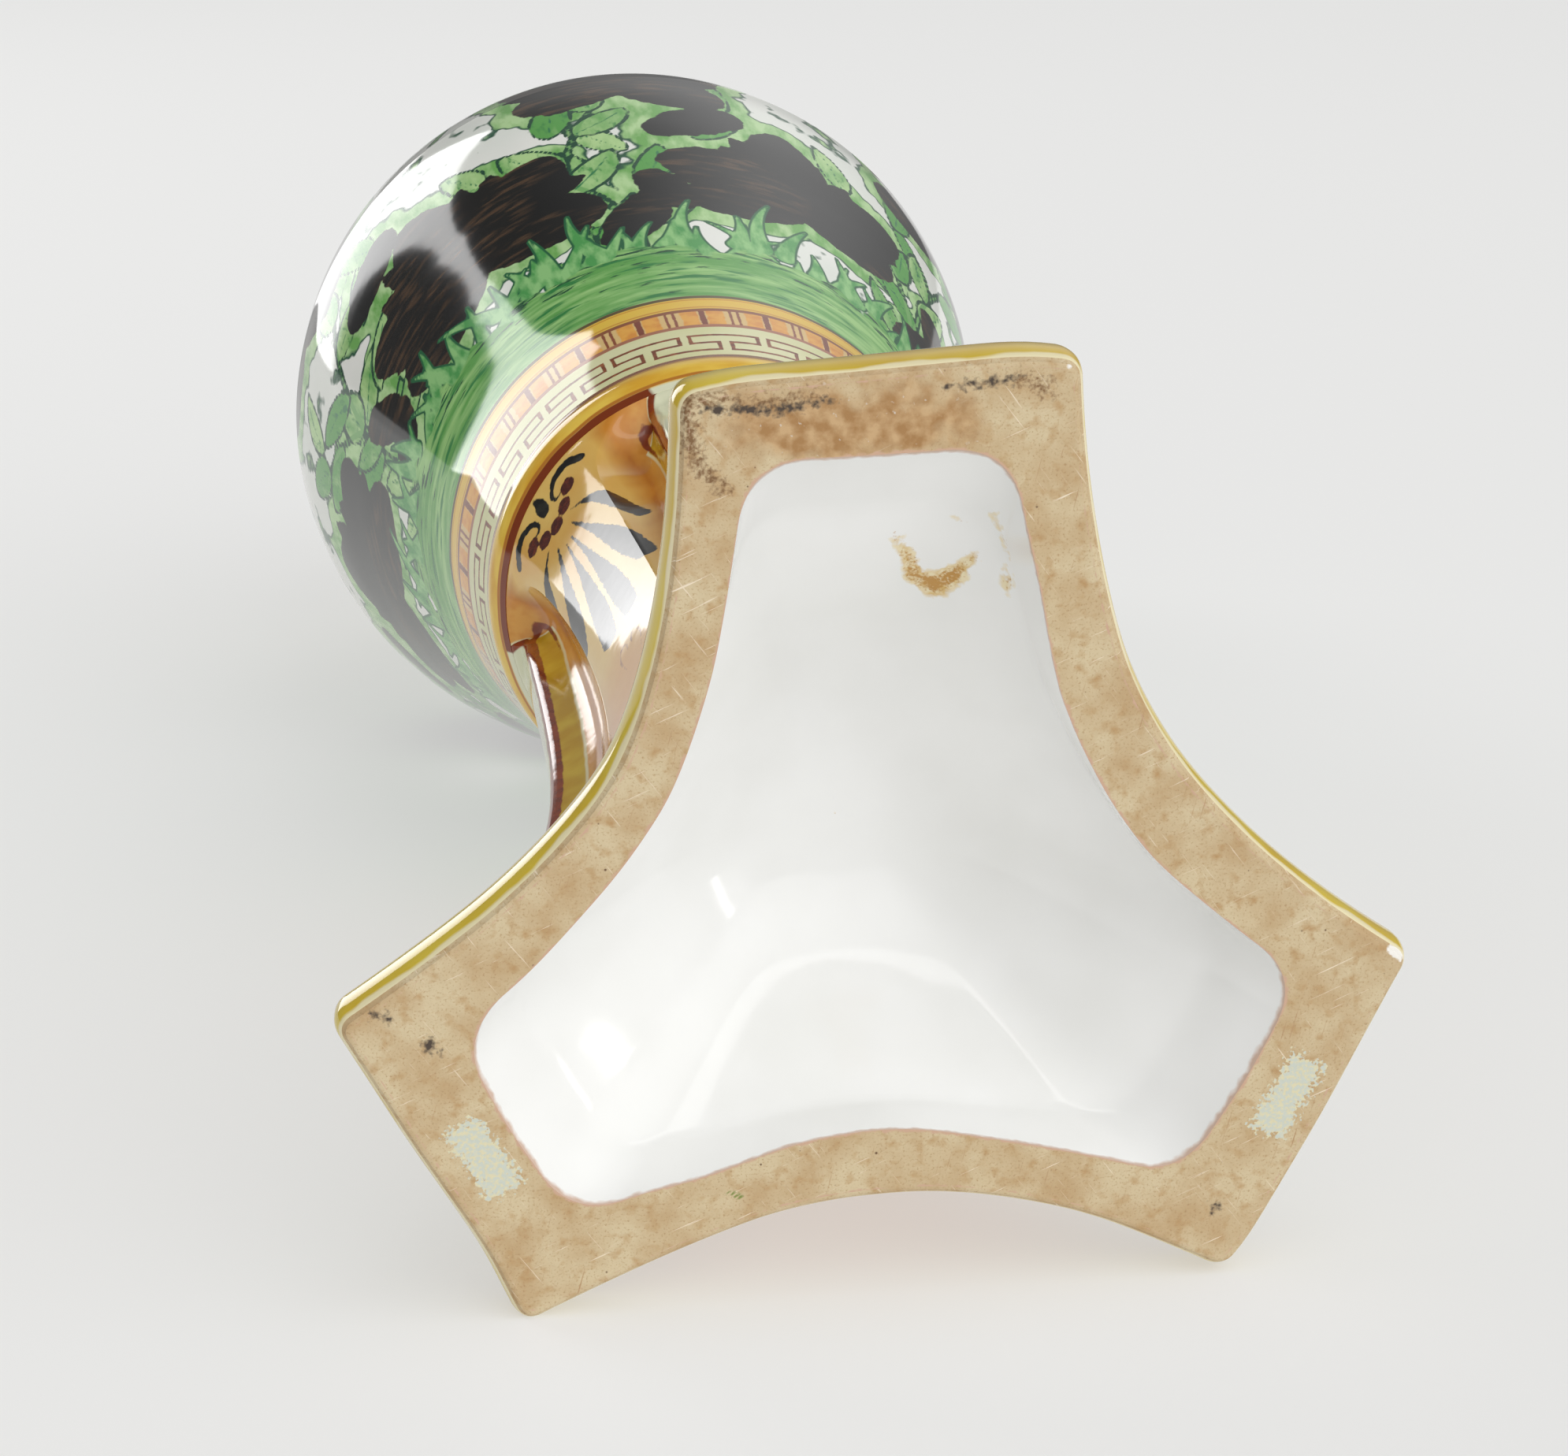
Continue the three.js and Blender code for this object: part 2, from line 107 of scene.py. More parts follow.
def make_skin(name, rings, start=None, end=None, wrap=False, layers=None, finish_rows=None):
    """A closed mesh through rings of points in mm, an array (rows, points, 3).

    Neighbouring rings are joined by quads. A start or end point closes the first or last ring with
    a fan, and wrap joins the last ring to the first. layers are values at the points, one array
    (rows, points) a name, and finish_rows gives each band of quads the number of its material.
    """
    rows, around = rings.shape[:2]
    index = np.arange(rows * around).reshape(rows, around)
    if wrap:
        index = np.vstack([index, index[:1]])
    ahead = np.roll(index, -1, axis=1)
    quads = np.stack([index[:-1], ahead[:-1], ahead[1:], index[1:]], axis=-1)
    bands = np.zeros(len(quads), int) if finish_rows is None else np.asarray(finish_rows)
    finish = np.repeat(bands, around)
    points = rings.reshape(-1, 3)
    fans = []
    for tip, ring, order in ((start, index[0], (1, 0)), (end, index[-1], (0, 1))):
        if tip is not None:
            pair = np.stack([ring, np.roll(ring, -1)])
            fans.append(np.column_stack([pair[order[0]], pair[order[1]], np.full(around, len(points))]))
            points = np.vstack([points, [tip]])
            finish = np.append(finish, np.full(around, bands[0] if tip is start else bands[-1]))
    corners = np.concatenate([quads.ravel()] + [fan.ravel() for fan in fans]).astype(np.int32)
    sizes = np.concatenate([np.full(quads.shape[0] * around, 4)] + [np.full(len(f), 3) for f in fans])
    mesh = bpy.data.meshes.new(name)
    mesh.vertices.add(len(points))
    mesh.vertices.foreach_set("co", (points * MM).astype(np.float32).ravel())
    mesh.loops.add(len(corners))
    mesh.loops.foreach_set("vertex_index", corners)
    mesh.polygons.add(len(sizes))
    mesh.polygons.foreach_set("loop_start", (np.cumsum(sizes) - sizes).astype(np.int32))
    mesh.polygons.foreach_set("material_index", finish.astype(np.int32))
    mesh.update(calc_edges=True)
    mesh.validate()
    mesh.shade_smooth()
    mesh.set_sharp_from_angle(angle=crease)
    for layer, values in (layers or {}).items():
        filled = np.append(values.ravel(), np.zeros(len(points) - rows * around))
        mesh.attributes.new(layer, "FLOAT", "POINT").data.foreach_set("value", filled.astype(np.float32))
    print(name, "has", len(points), "points and", int((sizes - 2).sum()), "triangles")
    return linked(name, mesh)


def set_in_frame(piece, materials, slot, *nodes):
    """Gives a piece its finishes, hides the nodes of the imported model that it stands for, and lets it ride.
    The slot is not used.
    """
    for material in materials:
        piece.data.materials.append(material)
    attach(piece, "root")
    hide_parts(*nodes)


def unit(vectors):
    """Vectors (..., n) scaled to a length of 1."""
    return vectors / np.linalg.norm(vectors, axis=-1, keepdims=True)


def round_axis(radius, angle, height):
    """Points at a distance from the axis, an angle in radians and a height."""
    return np.stack([radius * np.cos(angle), radius * np.sin(angle), height], -1)


def turned(flat, angle):
    """Points (..., 2) turned about the axis by an angle in radians."""
    cos, sin = np.cos(angle), np.sin(angle)
    return np.stack([flat[..., 0] * cos - flat[..., 1] * sin, flat[..., 0] * sin + flat[..., 1] * cos], -1)


def raised(flat, heights):
    """Outlines (rows, points, 2) with a height for each row, or for each point."""
    level = np.broadcast_to(np.asarray(heights, float).reshape(len(flat), -1), flat.shape[:2])
    return np.concatenate([flat, level[..., None]], axis=-1)


def length_along(points):
    """Length from the first point to each other one, along the last axis but one."""
    steps = np.linalg.norm(np.diff(points, axis=-2), axis=-1)
    return np.concatenate([np.zeros(steps.shape[:-1] + (1,)), np.cumsum(steps, axis=-1)], axis=-1)


def spline(places, count):
    """Points on a Catmull-Rom curve: between two places it leaves each along the line through its
    neighbours, and count points are spaced evenly along it."""
    p = np.asarray(places, float)
    p = np.vstack([p[:1], p, p[-1:]])
    s = np.linspace(0, len(p) - 3, 40 * len(p))
    k = np.minimum(s.astype(int), len(p) - 4)
    u = (s - k)[:, None]
    a, b, c, d = p[k], p[k + 1], p[k + 2], p[k + 3]
    curve = b + u * (c - a) / 2 + u ** 2 * (a - 2.5 * b + 2 * c - d / 2) + u ** 3 * (
        1.5 * (b - c) + (d - a) / 2)
    length = length_along(curve)
    even = np.linspace(0, length[-1], count)
    return np.stack([np.interp(even, length, curve[:, k]) for k in range(p.shape[1])], -1)


# %% [markdown]
# ## The painter's canvas
# The glaze is painted with brush strokes. Each stroke is a path with a half width at every place, and
# the points of a skin keep their signed distance to its edge, in mm. The materials turn these
# distances into crisp edges, outlines and halos, which an image texture would give less sharply.

# %% Brush strokes
far = 6.0


def stroke_distance(points, path, half_widths):
    """Distance from points to the edge of a brush stroke, negative inside it.

    Along each straight step of the path the half width changes evenly. The nearest place on a step
    is the point's projection on it, kept between its ends.
    """
    step = np.diff(path, axis=0)
    offset = points[:, None] - path[:-1]
    way = np.clip((offset * step).sum(-1) / np.maximum((step ** 2).sum(-1), 1e-9), 0, 1)
    gap = np.linalg.norm(offset - way[..., None] * step, axis=-1)
    return (gap - (half_widths[:-1] + way * np.diff(half_widths))).min(axis=1)


class Canvas:
    """The points of a skin with the painter's layers: for each of them a value at every point."""

    def __init__(self, rings):
        self.rings = rings
        self.points = rings.reshape(-1, 3)
        self.flat_layers = {}

    def layer(self, name, start=far):
        """The values of a layer at all points, a new one filled with its start."""
        return self.flat_layers.setdefault(name, np.full(len(self.points), start))

    def stroke(self, name, path, half_widths, tone=None, outlined=False):
        """Lays a stroke on a layer. An outlined one hides the lines under it and adds its own."""
        half_widths = np.broadcast_to(np.asarray(half_widths, float), len(path))
        reach = half_widths.max() + far
        near = np.all((self.points > path.min(0) - reach) & (self.points < path.max(0) + reach), axis=1)
        near = np.flatnonzero(near)
        gap = stroke_distance(self.points[near], path, half_widths)
        layer = self.layer(name)
        if tone is not None:
            self.layer("tone", 0.5)[near[gap < 0]] = tone
        if outlined:
            line = self.layer("line")
            line[near] = np.where(gap < 0, -gap, np.minimum(line[near], np.abs(gap)))
        layer[near] = np.minimum(layer[near], gap)

    def layers(self):
        """All layers, each as an array (rows, points)."""
        return {name: values.reshape(self.rings.shape[:2]) for name, values in self.flat_layers.items()}


def box_distance(points, middle, half_size, turn):
    """Distance from points (..., 2) to a rectangle turned by an angle in degrees."""
    local = np.abs(turned(points - np.array(middle), -math.radians(turn))) - np.array(half_size)
    return np.linalg.norm(np.maximum(local, 0), axis=-1) + np.minimum(local.max(-1), 0)


# %% [markdown]
# ## The foot
# The plinth is a three-armed slab with hollowed sides and a glazed dish on its underside. It could be
# a bevelled extrusion with a cut, but its dish follows the same outline all the way in, so each ring
# of the skin is that outline at its own reach, width and height.

# %% The three-armed outline
arm_count = 3
arm_turn = 2 * math.pi / arm_count
first_arm = math.pi / 2
side_power = 1.6


def arm_outline(reach, half, waist, rounding, per_arm=160):
    """Three-armed outlines, one row for each set of sizes in mm.

    An arm's end is a straight line at the reach. Between two arms the side is hollowed: its distance
    from the axis is the waist plus a rise that grows like s to the power 1.6, s from -1 to 1 along it.
    Corners are quadratic Bezier curves from one to the other.
    """
    reach, half, waist, rounding = (np.atleast_1d(v).astype(float)[:, None] for v in
                                    np.broadcast_arrays(reach, half, waist, rounding))
    cos, sin = math.cos(arm_turn / 2), math.sin(arm_turn / 2)
    side_half = reach * sin - half * cos
    rise = reach * cos + half * sin - waist
    trim = np.minimum(rounding, np.minimum(side_half, half) / 2)
    span = 1 - trim / np.hypot(side_half, rise * side_power)
    end_points, corner_points = per_arm // 6, per_arm // 9
    side_points = per_arm - end_points - 2 * corner_points

    def side(s):
        soft = 0.004
        way = (s ** 2 + soft) ** (side_power / 2) - soft ** (side_power / 2)
        return turned(np.stack([waist + rise * way, side_half * s], -1), arm_turn / 2)

    def corner(a, b, c):
        u = np.linspace(0, 1, corner_points, endpoint=False)[None, :, None]
        return (1 - u) ** 2 * a + 2 * u * (1 - u) * b + u ** 2 * c

    def at(x, y, angle=0.0):
        return turned(np.stack([x, y], -1), angle)

    along_end = np.linspace(-1, 1, end_points, endpoint=False)
    along_side = np.linspace(-1, 1, side_points, endpoint=False)
    end = np.stack([reach + 0 * along_end, (half - trim) * along_end], -1)
    first = corner(at(reach, half - trim), at(reach, half), side(-span))
    last = corner(side(span), at(reach, -half, arm_turn), at(reach, trim - half, arm_turn))
    arm = np.concatenate([end, first, side(span * along_side), last], axis=1)
    return np.concatenate([turned(arm, first_arm + k * arm_turn) for k in range(arm_count)], axis=1)


def swollen(outline, distance):
    """Outlines moved outwards by a distance for each row, square to the line between neighbours."""
    along = unit(np.roll(outline, -1, axis=1) - np.roll(outline, 1, axis=1))
    return outline + np.reshape(distance, (-1, 1, 1)) * np.stack([along[..., 1], -along[..., 0]], -1)


# %% Traces of the hand
# The foot was pressed in a mould and trimmed by eye: its reach in mm varies with the angle in degrees.
foot_trims = [(0, -3.3), (30, -2.9), (60, -3.1), (68, -2.5), (74, -0.2), (90, 0.8), (106, 2.0), (112, 0.3),
              (135, -0.1), (150, 0.5), (170, 0), (190, -0.8), (210, 0.9), (228, 1.5), (236, -2.1),
              (250, -1.2), (270, 0), (290, -0.6), (302, 0.2), (309, 0.7), (318, -1.2), (335, -1.3),
              (350, -2.2)]
dish_trims = [(0, -2.0), (20, -1.2), (40, -0.8), (58, -0.5), (66, 0.5), (74, 2.0), (90, 2.1), (102, 2.5),
              (116, 2.4), (122, 1.1), (130, 0.1), (150, 0), (164, -0.8), (176, -1.6), (192, -0.9), (210, 0.2),
              (222, -0.4), (234, 0.5), (246, 0.4), (258, -0.2), (290, -0.3), (304, 1.3), (312, -1.1),
              (330, -0.9), (340, -1.9), (348, -3.8), (355, -2.6)]


def hand_trimmed(flat, trims, share=1.0):
    """Points (..., 2) moved away from the axis by the trims, evened out over some degrees, times a
    share for each row."""
    turns = np.arange(360)
    knots = np.array(trims, float)
    wave = np.interp(turns, knots[:, 0], knots[:, 1], period=360)
    wave = sum(np.roll(wave, k) * (6 - abs(k)) for k in range(-5, 6)) / 36
    radius = np.linalg.norm(flat, axis=-1)
    degrees = np.degrees(np.arctan2(flat[..., 1], flat[..., 0])) % 360
    move = np.interp(degrees, turns, wave, period=360) * np.reshape(share, np.shape(share) + (1,))
    return flat * (1 + move / np.maximum(radius, 1))[..., None]


# %% [markdown]
# ## The stem
# Three legs with rounded edges stand on the plinth, and panels lie between them, flat in the middle.
# Glaze has filled the corners, so the panels climb the sides of the legs in a soft fillet. Each leg is
# its own piece and meets the panels' piece in a seam under the painted edge.

# %% Sections of the stem
plinth_reach, plinth_half, plinth_waist, plinth_corner = 72.0, 26.0, 43.5, 2.2
front_ledge, side_ledge, panel_ledge = 3.5, 1.75, 2.0
leg_reach, leg_width, leg_depth, leg_foot_depth, leg_top_depth = 38.7, 26.0, 16.0, 8.6, 3.0
leg_crown, leg_edge, leg_shoulder = 3.6, 2.4, 0.9
panel_waist, panel_top = 24.0, 38.2
leg_flare, panel_flare, leg_top_fade, panel_top_fade = 0.18, 0.25, 0.03, 0.3
panel_flat_fade, panel_power = 0.04, 4
fillet, fillet_share, edge_share, trim_fade = 6.5, 0.85, 0.8, 0.22
collar_foot, collar_ledge, flare_height = 38.8, 0.1, 4.0
crown_points, edge_points, side_points, fillet_points, panel_points = 26, 12, 12, 22, 36


def blend(middle, foot, t, share):
    """A size that starts at foot and dies away to middle like e to the power -t/share."""
    return middle + (foot - middle) * np.exp(-t / share)


def stem_section(t):
    """Front, half width, seat, half seat and panel radius at shares t of the stem's height, in mm."""
    front = blend(leg_reach, plinth_reach - front_ledge, t, leg_flare)
    half = blend(leg_width, 2 * (plinth_half - side_ledge), t, leg_flare) / 2
    depth = blend(leg_depth, leg_foot_depth, t, leg_flare)
    depth = depth + blend(0, leg_top_depth - leg_depth, 1 - t, leg_top_fade)
    panel = blend(panel_waist, plinth_waist - panel_ledge, t, panel_flare)
    panel = panel + blend(0, panel_top - panel_waist, 1 - t, panel_top_fade)
    return front, half, front - depth, half - leg_shoulder, panel


def panel_radius(t, turn):
    """Distance of a panel's surface from the axis, at an angle of turn in radians from its middle.

    The panel is flat in the middle, round under the collar, and falls away to the creases beside the
    legs with the fourth power of the way from its middle.
    """
    _, _, seat, seat_half, panel = stem_section(t)
    corner_turn = arm_turn / 2 - np.arctan2(seat_half, seat)
    flatness = 1 - np.exp((t - 1) / panel_flat_fade)

    def face(turn):
        return panel * (1 + flatness * (1 / np.cos(turn) - 1))

    way = np.minimum(turn / corner_turn, 1)
    return face(turn) + (np.hypot(seat, seat_half) - face(corner_turn)) * way ** panel_power


def half_outline(t):
    """Half of one third of the stem's outline, for a leg along +X, as its front and its flank.

    The front runs from the middle of the leg over a parabola and a quarter circle to the seam. The
    flank runs from the seam down the leg's side, through a Bezier fillet and on to the middle of the
    panel.
    """
    front, half, seat, seat_half, _ = (v[:, None] for v in stem_section(t))
    fall = np.minimum(leg_crown + leg_edge, (front - seat) * edge_share)
    crown = fall * leg_crown / (leg_crown + leg_edge)
    edge = fall - crown
    y = np.linspace(0, 1, crown_points, endpoint=False) * (half - edge)
    over = np.stack([front - crown * (y / (half - edge)) ** 2, y], -1)
    angle = np.linspace(0, math.pi / 2, edge_points)
    rounding = np.stack([front - crown - edge * (1 - np.cos(angle)), half - edge * (1 - np.sin(angle))], -1)
    seam, foot = rounding[:, -1:], np.stack([seat, seat_half], -1)
    side_length = np.linalg.norm(seam - foot, axis=-1, keepdims=True)
    reach_up = np.minimum(fillet, fillet_share * side_length)
    start = foot + (seam - foot) / side_length * reach_up
    corner = np.hypot(seat, seat_half)
    corner_turn = arm_turn / 2 - np.arctan2(seat_half, seat)

    def on_panel(s):
        radius = panel_radius(t[:, None], corner_turn * s)
        angle = arm_turn / 2 - corner_turn * s
        return np.stack([radius * np.cos(angle), radius * np.sin(angle)], -1)

    s_fillet = 1 - fillet / (corner * corner_turn)
    u = np.linspace(0, 1, fillet_points, endpoint=False)[None, :, None]
    side = seam + (start - seam) * np.linspace(0, 1, side_points, endpoint=False)[None, :, None]
    curve = (1 - u) ** 2 * start + 2 * u * (1 - u) * foot + u ** 2 * on_panel(s_fillet)
    rest = on_panel(s_fillet * np.linspace(1, 0, panel_points))
    return np.concatenate([over, rounding], axis=1), np.concatenate([side, curve, rest], axis=1)


def mirrored(flat):
    """The same points on the other side of the leg, in the opposite order."""
    return flat[:, ::-1] * [1, -1]


stem_shares = np.concatenate([np.linspace(0, 0.1, 13), np.linspace(0.1, 0.56, 44)[1:],
                              np.linspace(0.56, 1, 126)[1:]])
stem_heights = stem_foot + stem_shares * (stem_top - stem_foot)


def flared(flat):
    """Outlines led out to the collar's foot: close under it their distance from the axis passes to
    the collar's like a quarter circle, since glaze has filled the corner."""
    way = np.clip((stem_heights - stem_top) / flare_height + 1, 0, 1)[:, None]
    radius = np.linalg.norm(flat, axis=-1)
    share = 1 - np.sqrt(1 - way ** 2)
    return flat * (1 + share * (collar_foot - collar_ledge - radius) / radius)[..., None]


leg_front, flank = (flared(half) for half in half_outline(stem_shares))
print("stem outline has", 6 * (leg_front.shape[1] + flank.shape[1]), "points")

# %% Rings of the plinth and its dish
foot_rim_end, foot_rim_arm, foot_rim_side = 12.0, 9.0, 9.5
dish_depth, dish_corner, corner_loss, foot_wall = 36.0, 8.5, 0.3, 7.5
dish_power, low_power, dish_rows = 0.6, 1.1, 64
foot_outline = arm_outline(plinth_reach, plinth_half, plinth_waist, plinth_corner)
rim_sizes = np.array([plinth_reach - foot_rim_end, plinth_half - foot_rim_arm, plinth_waist - foot_rim_side])


def dish_rings(heights):
    """Rings of the dish at heights in mm above the foot face.

    Above the plinth their reach, half width and waist are the stem's less a wall. Below it they pass
    evenly to the rim's sizes. All shrink with a power of the cosine and vanish at the roof.
    """
    def walled(height):
        above = np.maximum(height - stem_foot, 0)
        _, _, seat, seat_half, panel = stem_section(above / (stem_top - stem_foot))
        shrink = np.sqrt(1 - (height / dish_depth) ** 2) ** dish_power
        return np.stack([seat - foot_wall, seat_half - foot_wall, panel - foot_wall]) * shrink

    way = np.clip(heights / stem_foot, 0, 1) ** low_power
    low = rim_sizes[:, None] + (walled(np.array([stem_foot])) - rim_sizes[:, None]) * way
    reach, half, waist = np.where(heights < stem_foot, low, walled(heights))
    flat = arm_outline(reach, half, waist, dish_corner * (1 - corner_loss * heights / dish_depth))
    return raised(hand_trimmed(flat, dish_trims, 1 - heights / dish_depth), heights)


dish_heights = dish_depth * np.sin(np.linspace(0, math.pi / 2, dish_rows)[:-1])
dish = dish_rings(dish_heights)
trimmed_outline = hand_trimmed(foot_outline, foot_trims)
inner_edge, outer_edge = dish[0, :, :2], swollen(trimmed_outline, -0.5)
rim_way = np.concatenate([[0.012, 0.04, 0.08], np.linspace(0.12, 0.94, 15), [0.98]])[:, None, None]
rim_rings = raised(inner_edge + (outer_edge - inner_edge) * rim_way, np.zeros(len(rim_way)))
side_rows, back_wall, back_growth = 26, 2.5, 1.04
side_places = spline([(-0.5, 0), (-0.12, 0.12), (0.05, 0.5), (0.72, 1.3), (1.3, 3.8), (1.1, 7.1), (0.2, 9.0),
                      (-0.65, 9.5)], side_rows)
side_heights = side_places[:, 1] * stem_foot / side_places[-1, 1]
outer_rings = raised(swollen(np.repeat(trimmed_outline, side_rows, axis=0), side_places[:, 0]), side_heights)
back_rings = (dish * [back_growth, back_growth, 1] + [0, 0, back_wall])[dish_heights > stem_foot - back_wall]
foot_rings = np.concatenate([dish[::-1], rim_rings, outer_rings, back_rings])
print("plinth has", len(foot_rings), "rings of", foot_rings.shape[1], "points")

# %% Wear and stains on the foot
# Each mark is a stroke on a painter's layer, through places in mm with half widths in mm.
foot_marks = (
    ("dirt", [(23, 69.2), (14, 68.6), (5.5, 69.8)], [0.5, 0.9, 0.4]),
    ("dirt", [(-8, 70.9), (-14, 71.1), (-19.2, 71.6)], [0.3, 0.8, 0.5]),
    ("dirt", [(61.4, -16.2), (60.4, -17.8)], [1.2, 0.7]),
    ("dirt", [(68, -11.5), (66.5, -12.4)], [0.9, 0.5]),
    ("dirt", [(-48.4, -49.2), (-47.8, -50.4)], [0.9, 0.6]),
    ("patch", [(17, 66), (8, 66), (-5, 66.5), (-9, 67)], [3.0, 4.6, 4.6, 3.0]),
    ("scrawl", [(25.5, 70), (24, 62), (20.5, 58.5)], [1.4, 1.0, 0.8]),
    ("scrawl", [(25, 70.6), (17, 69.5), (8, 70.3)], [1.0, 0.7, 0.5]),
    ("scrawl", [(-18, 71.5), (-22, 70)], [0.7, 1.0]),
    ("green", [(21.3, -41.4), (19.4, -42.5)], [0.3, 0.45]),
    ("green", [(47.5, -58), (46.2, -59.2)], [0.25, 0.4]),
    ("chip", [(-74.4, -12.6), (-72.6, -12.0)], [1.3, 0.8]),
    ("chip", [(-25.4, 73.7), (-25.2, 72.9)], [0.6, 0.35]),
    ("smudge", [(-4.4, 47.5, 12), (-6.3, 44, 14.5), (-8.2, 40.3, 17)], [0.7, 1.1, 1.6]),
    ("smudge", [(-8.4, 40.2, 17), (-11, 39.2, 18), (-13.4, 41, 15.6), (-15.2, 44.4, 12)],
     [1.7, 2.3, 1.6, 0.8]),
    ("smudge", [(-16.4, 51, 7.3), (-17.7, 46.1, 7.7), (-18.7, 40.4, 9.8)], [0.7, 1.0, 1.2]),
    ("smudge", [(-12.1, 50.4, 10.1), (-13.7, 48.9, 11), (-14.8, 48.4, 11.2)], [0.3, 0.5, 0.3]),
    ("speck", [(15.5, 52.3, 8.4), (15.2, 52.1, 8.5)], 0.35),
    ("speck", [(9, 49.5, 13), (8.8, 49.3, 13.1)], 0.2),
    ("speck", [(2, 44, 20), (1.9, 43.8, 20.1)], 0.15))
labels = ((54.7, -33.6), (3.0, 6.3), -30), ((-58.2, -33.2), (3.0, 6.5), 28)
on_face = 0.4

foot = Canvas(foot_rings)
for middle, half_size, angle in labels:
    gap = box_distance(foot.points[:, :2], middle, half_size, angle)
    foot.layer("label")[:] = np.minimum(foot.layer("label"), np.where(foot.points[:, 2] > on_face, far, gap))
for name, places, half_widths in foot_marks:
    foot.stroke(name, np.array([(*place, 0)[:3] for place in places], float), half_widths)
rim_width = np.linalg.norm(outer_edge - inner_edge, axis=-1)
to_rim = np.full(foot_rings.shape[:2], far)
to_rim[:len(dish)] = -dish_heights[::-1, None]
to_rim[len(dish):len(dish) + len(rim_rings)] = np.minimum(rim_way[..., 0], 1 - rim_way[..., 0]) * rim_width
foot_layers = foot.layers() | {"to_rim": to_rim}
band = np.arange(len(foot_rings) - 1)
foot_finish = np.where(band < len(dish) - 1, 0, np.where(band < len(dish) + len(rim_rings) + 3, 1, 2))

# %% Plinth with its dish
plinth = make_skin("plinth_with_dish", foot_rings, start=(0, 0, dish_depth),
                   end=(0, 0, dish_depth + back_wall), layers=foot_layers, finish_rows=foot_finish)

# %% Panels between the legs
trim_share = np.exp(-stem_shares / trim_fade)
third = np.concatenate([flank[:, :-1], turned(mirrored(flank), arm_turn)[:, :-1]], axis=1)
core_outline = np.concatenate([turned(third, first_arm + k * arm_turn) for k in range(arm_count)], axis=1)
core_outer = raised(hand_trimmed(core_outline, foot_trims, trim_share), stem_heights)
roof, lining_share = dish_depth + 3, 0.93
lining_heights = roof * np.sin(np.linspace(math.pi / 2, math.asin(stem_foot / roof), 14)[1:-1])
lining_rows = np.searchsorted(stem_heights, lining_heights)
lining = core_outer[lining_rows]
lining[..., :2] *= (lining_share * (1 - (lining_heights / roof) ** 2) ** (dish_power / 2))[:, None, None]
lining[..., 2] = lining_heights[:, None]
core_rings = np.concatenate([lining, core_outer])
core_canvas = Canvas(core_rings)
flank_length = length_along(flank)
edge_third = np.concatenate([flank_length[:, :-1], flank_length[:, ::-1][:, :-1]], axis=1)
from_edge = np.concatenate([np.full((len(lining), 3 * edge_third.shape[1]), far),
                            np.tile(edge_third, (1, arm_count))])
strip_width, strip_top = 4.4, stem_top - 5.0
strip_path = np.array([(0, 0), (0, strip_top), (0.7, strip_top + 1.6), (2.2, strip_top + 2.2),
                       (3.7, strip_top + 1.6), (strip_width, strip_top), (strip_width + 0.2, strip_top - 12)])
strip_widths = np.array([1.0, 1.0, 0.85, 0.75, 0.65, 0.5, 0.1])
on_flank = np.stack([from_edge, core_rings[..., 2]], -1).reshape(-1, 2)
core_canvas.layer("outline")[:] = np.minimum(far, stroke_distance(on_flank, strip_path, strip_widths))
print("panels have", len(core_rings), "rings of", core_rings.shape[1], "points")

# %% Palmettes on the panels
# Each stroke goes through (degrees from the panel's middle, height in mm) places, with a half width
# in mm at every point of its path.
petal_share = np.array([0.08, 0.14, 0.21, 0.3, 0.41, 0.53, 0.65, 0.77, 0.88, 0.96, 1.0, 1.0, 0.97, 0.92])
berry, hook = np.full(2, 1.75), np.full(24, 0.35)
palmette = (
    ("black", [(1.4, 131), (3.6, 114), (6.4, 90)], 2.3 * petal_share),
    ("black", [(4, 134), (10.5, 121), (19.5, 101)], 2.4 * petal_share),
    ("black", [(6.5, 136.5), (15, 131.5), (24.5, 120)], 2.2 * petal_share),
    ("berry", [(0, 138.4), (0, 138.1)], berry),
    ("berry", [(5.5, 139.6), (5.5, 139.3)], berry),
    ("berry", [(9.6, 142.6), (9.6, 142.3)], berry),
    ("black", [(17, 145.5), (13, 147.6), (8, 147.4), (4.2, 145.2), (4.8, 143), (7.2, 143.2)],
     0.85 * petal_share[::-1] + 0.2),
    ("black", [(0.2, 150), (0.5, 147.4), (0.2, 144.6)], 1.3 * petal_share),
    ("hook", [(1, 62), (4, 70), (6, 77), (3.4, 81), (0.9, 78.6), (2.2, 76.6)], hook),
    ("hook", [(2, 52), (8, 56), (13, 51), (11, 46.5), (8, 48), (9.4, 50)], hook))


def on_panel(middle, places, count):
    """A smooth path on the panel whose middle lies at an angle in degrees."""
    degrees, height = spline(places, count).T
    turn = np.radians(degrees)
    share = (height - stem_foot) / (stem_top - stem_foot)
    radius = np.array([panel_radius(np.array([t]), abs(a))[0] for t, a in zip(share, turn)])
    return round_axis(radius, turn + math.radians(middle), height)


for k in range(arm_count):
    middle = 30 + 360 / arm_count * k
    for layer, places, half_widths in palmette:
        for side in (-1, 1):
            path = on_panel(middle, [(side * x, z) for x, z in places], len(half_widths))
            core_canvas.stroke(layer, path, half_widths)
core = make_skin("stem_panels", core_rings, start=(0, 0, roof), end=(0, 0, stem_top),
                 layers=core_canvas.layers() | {"from_edge": from_edge})

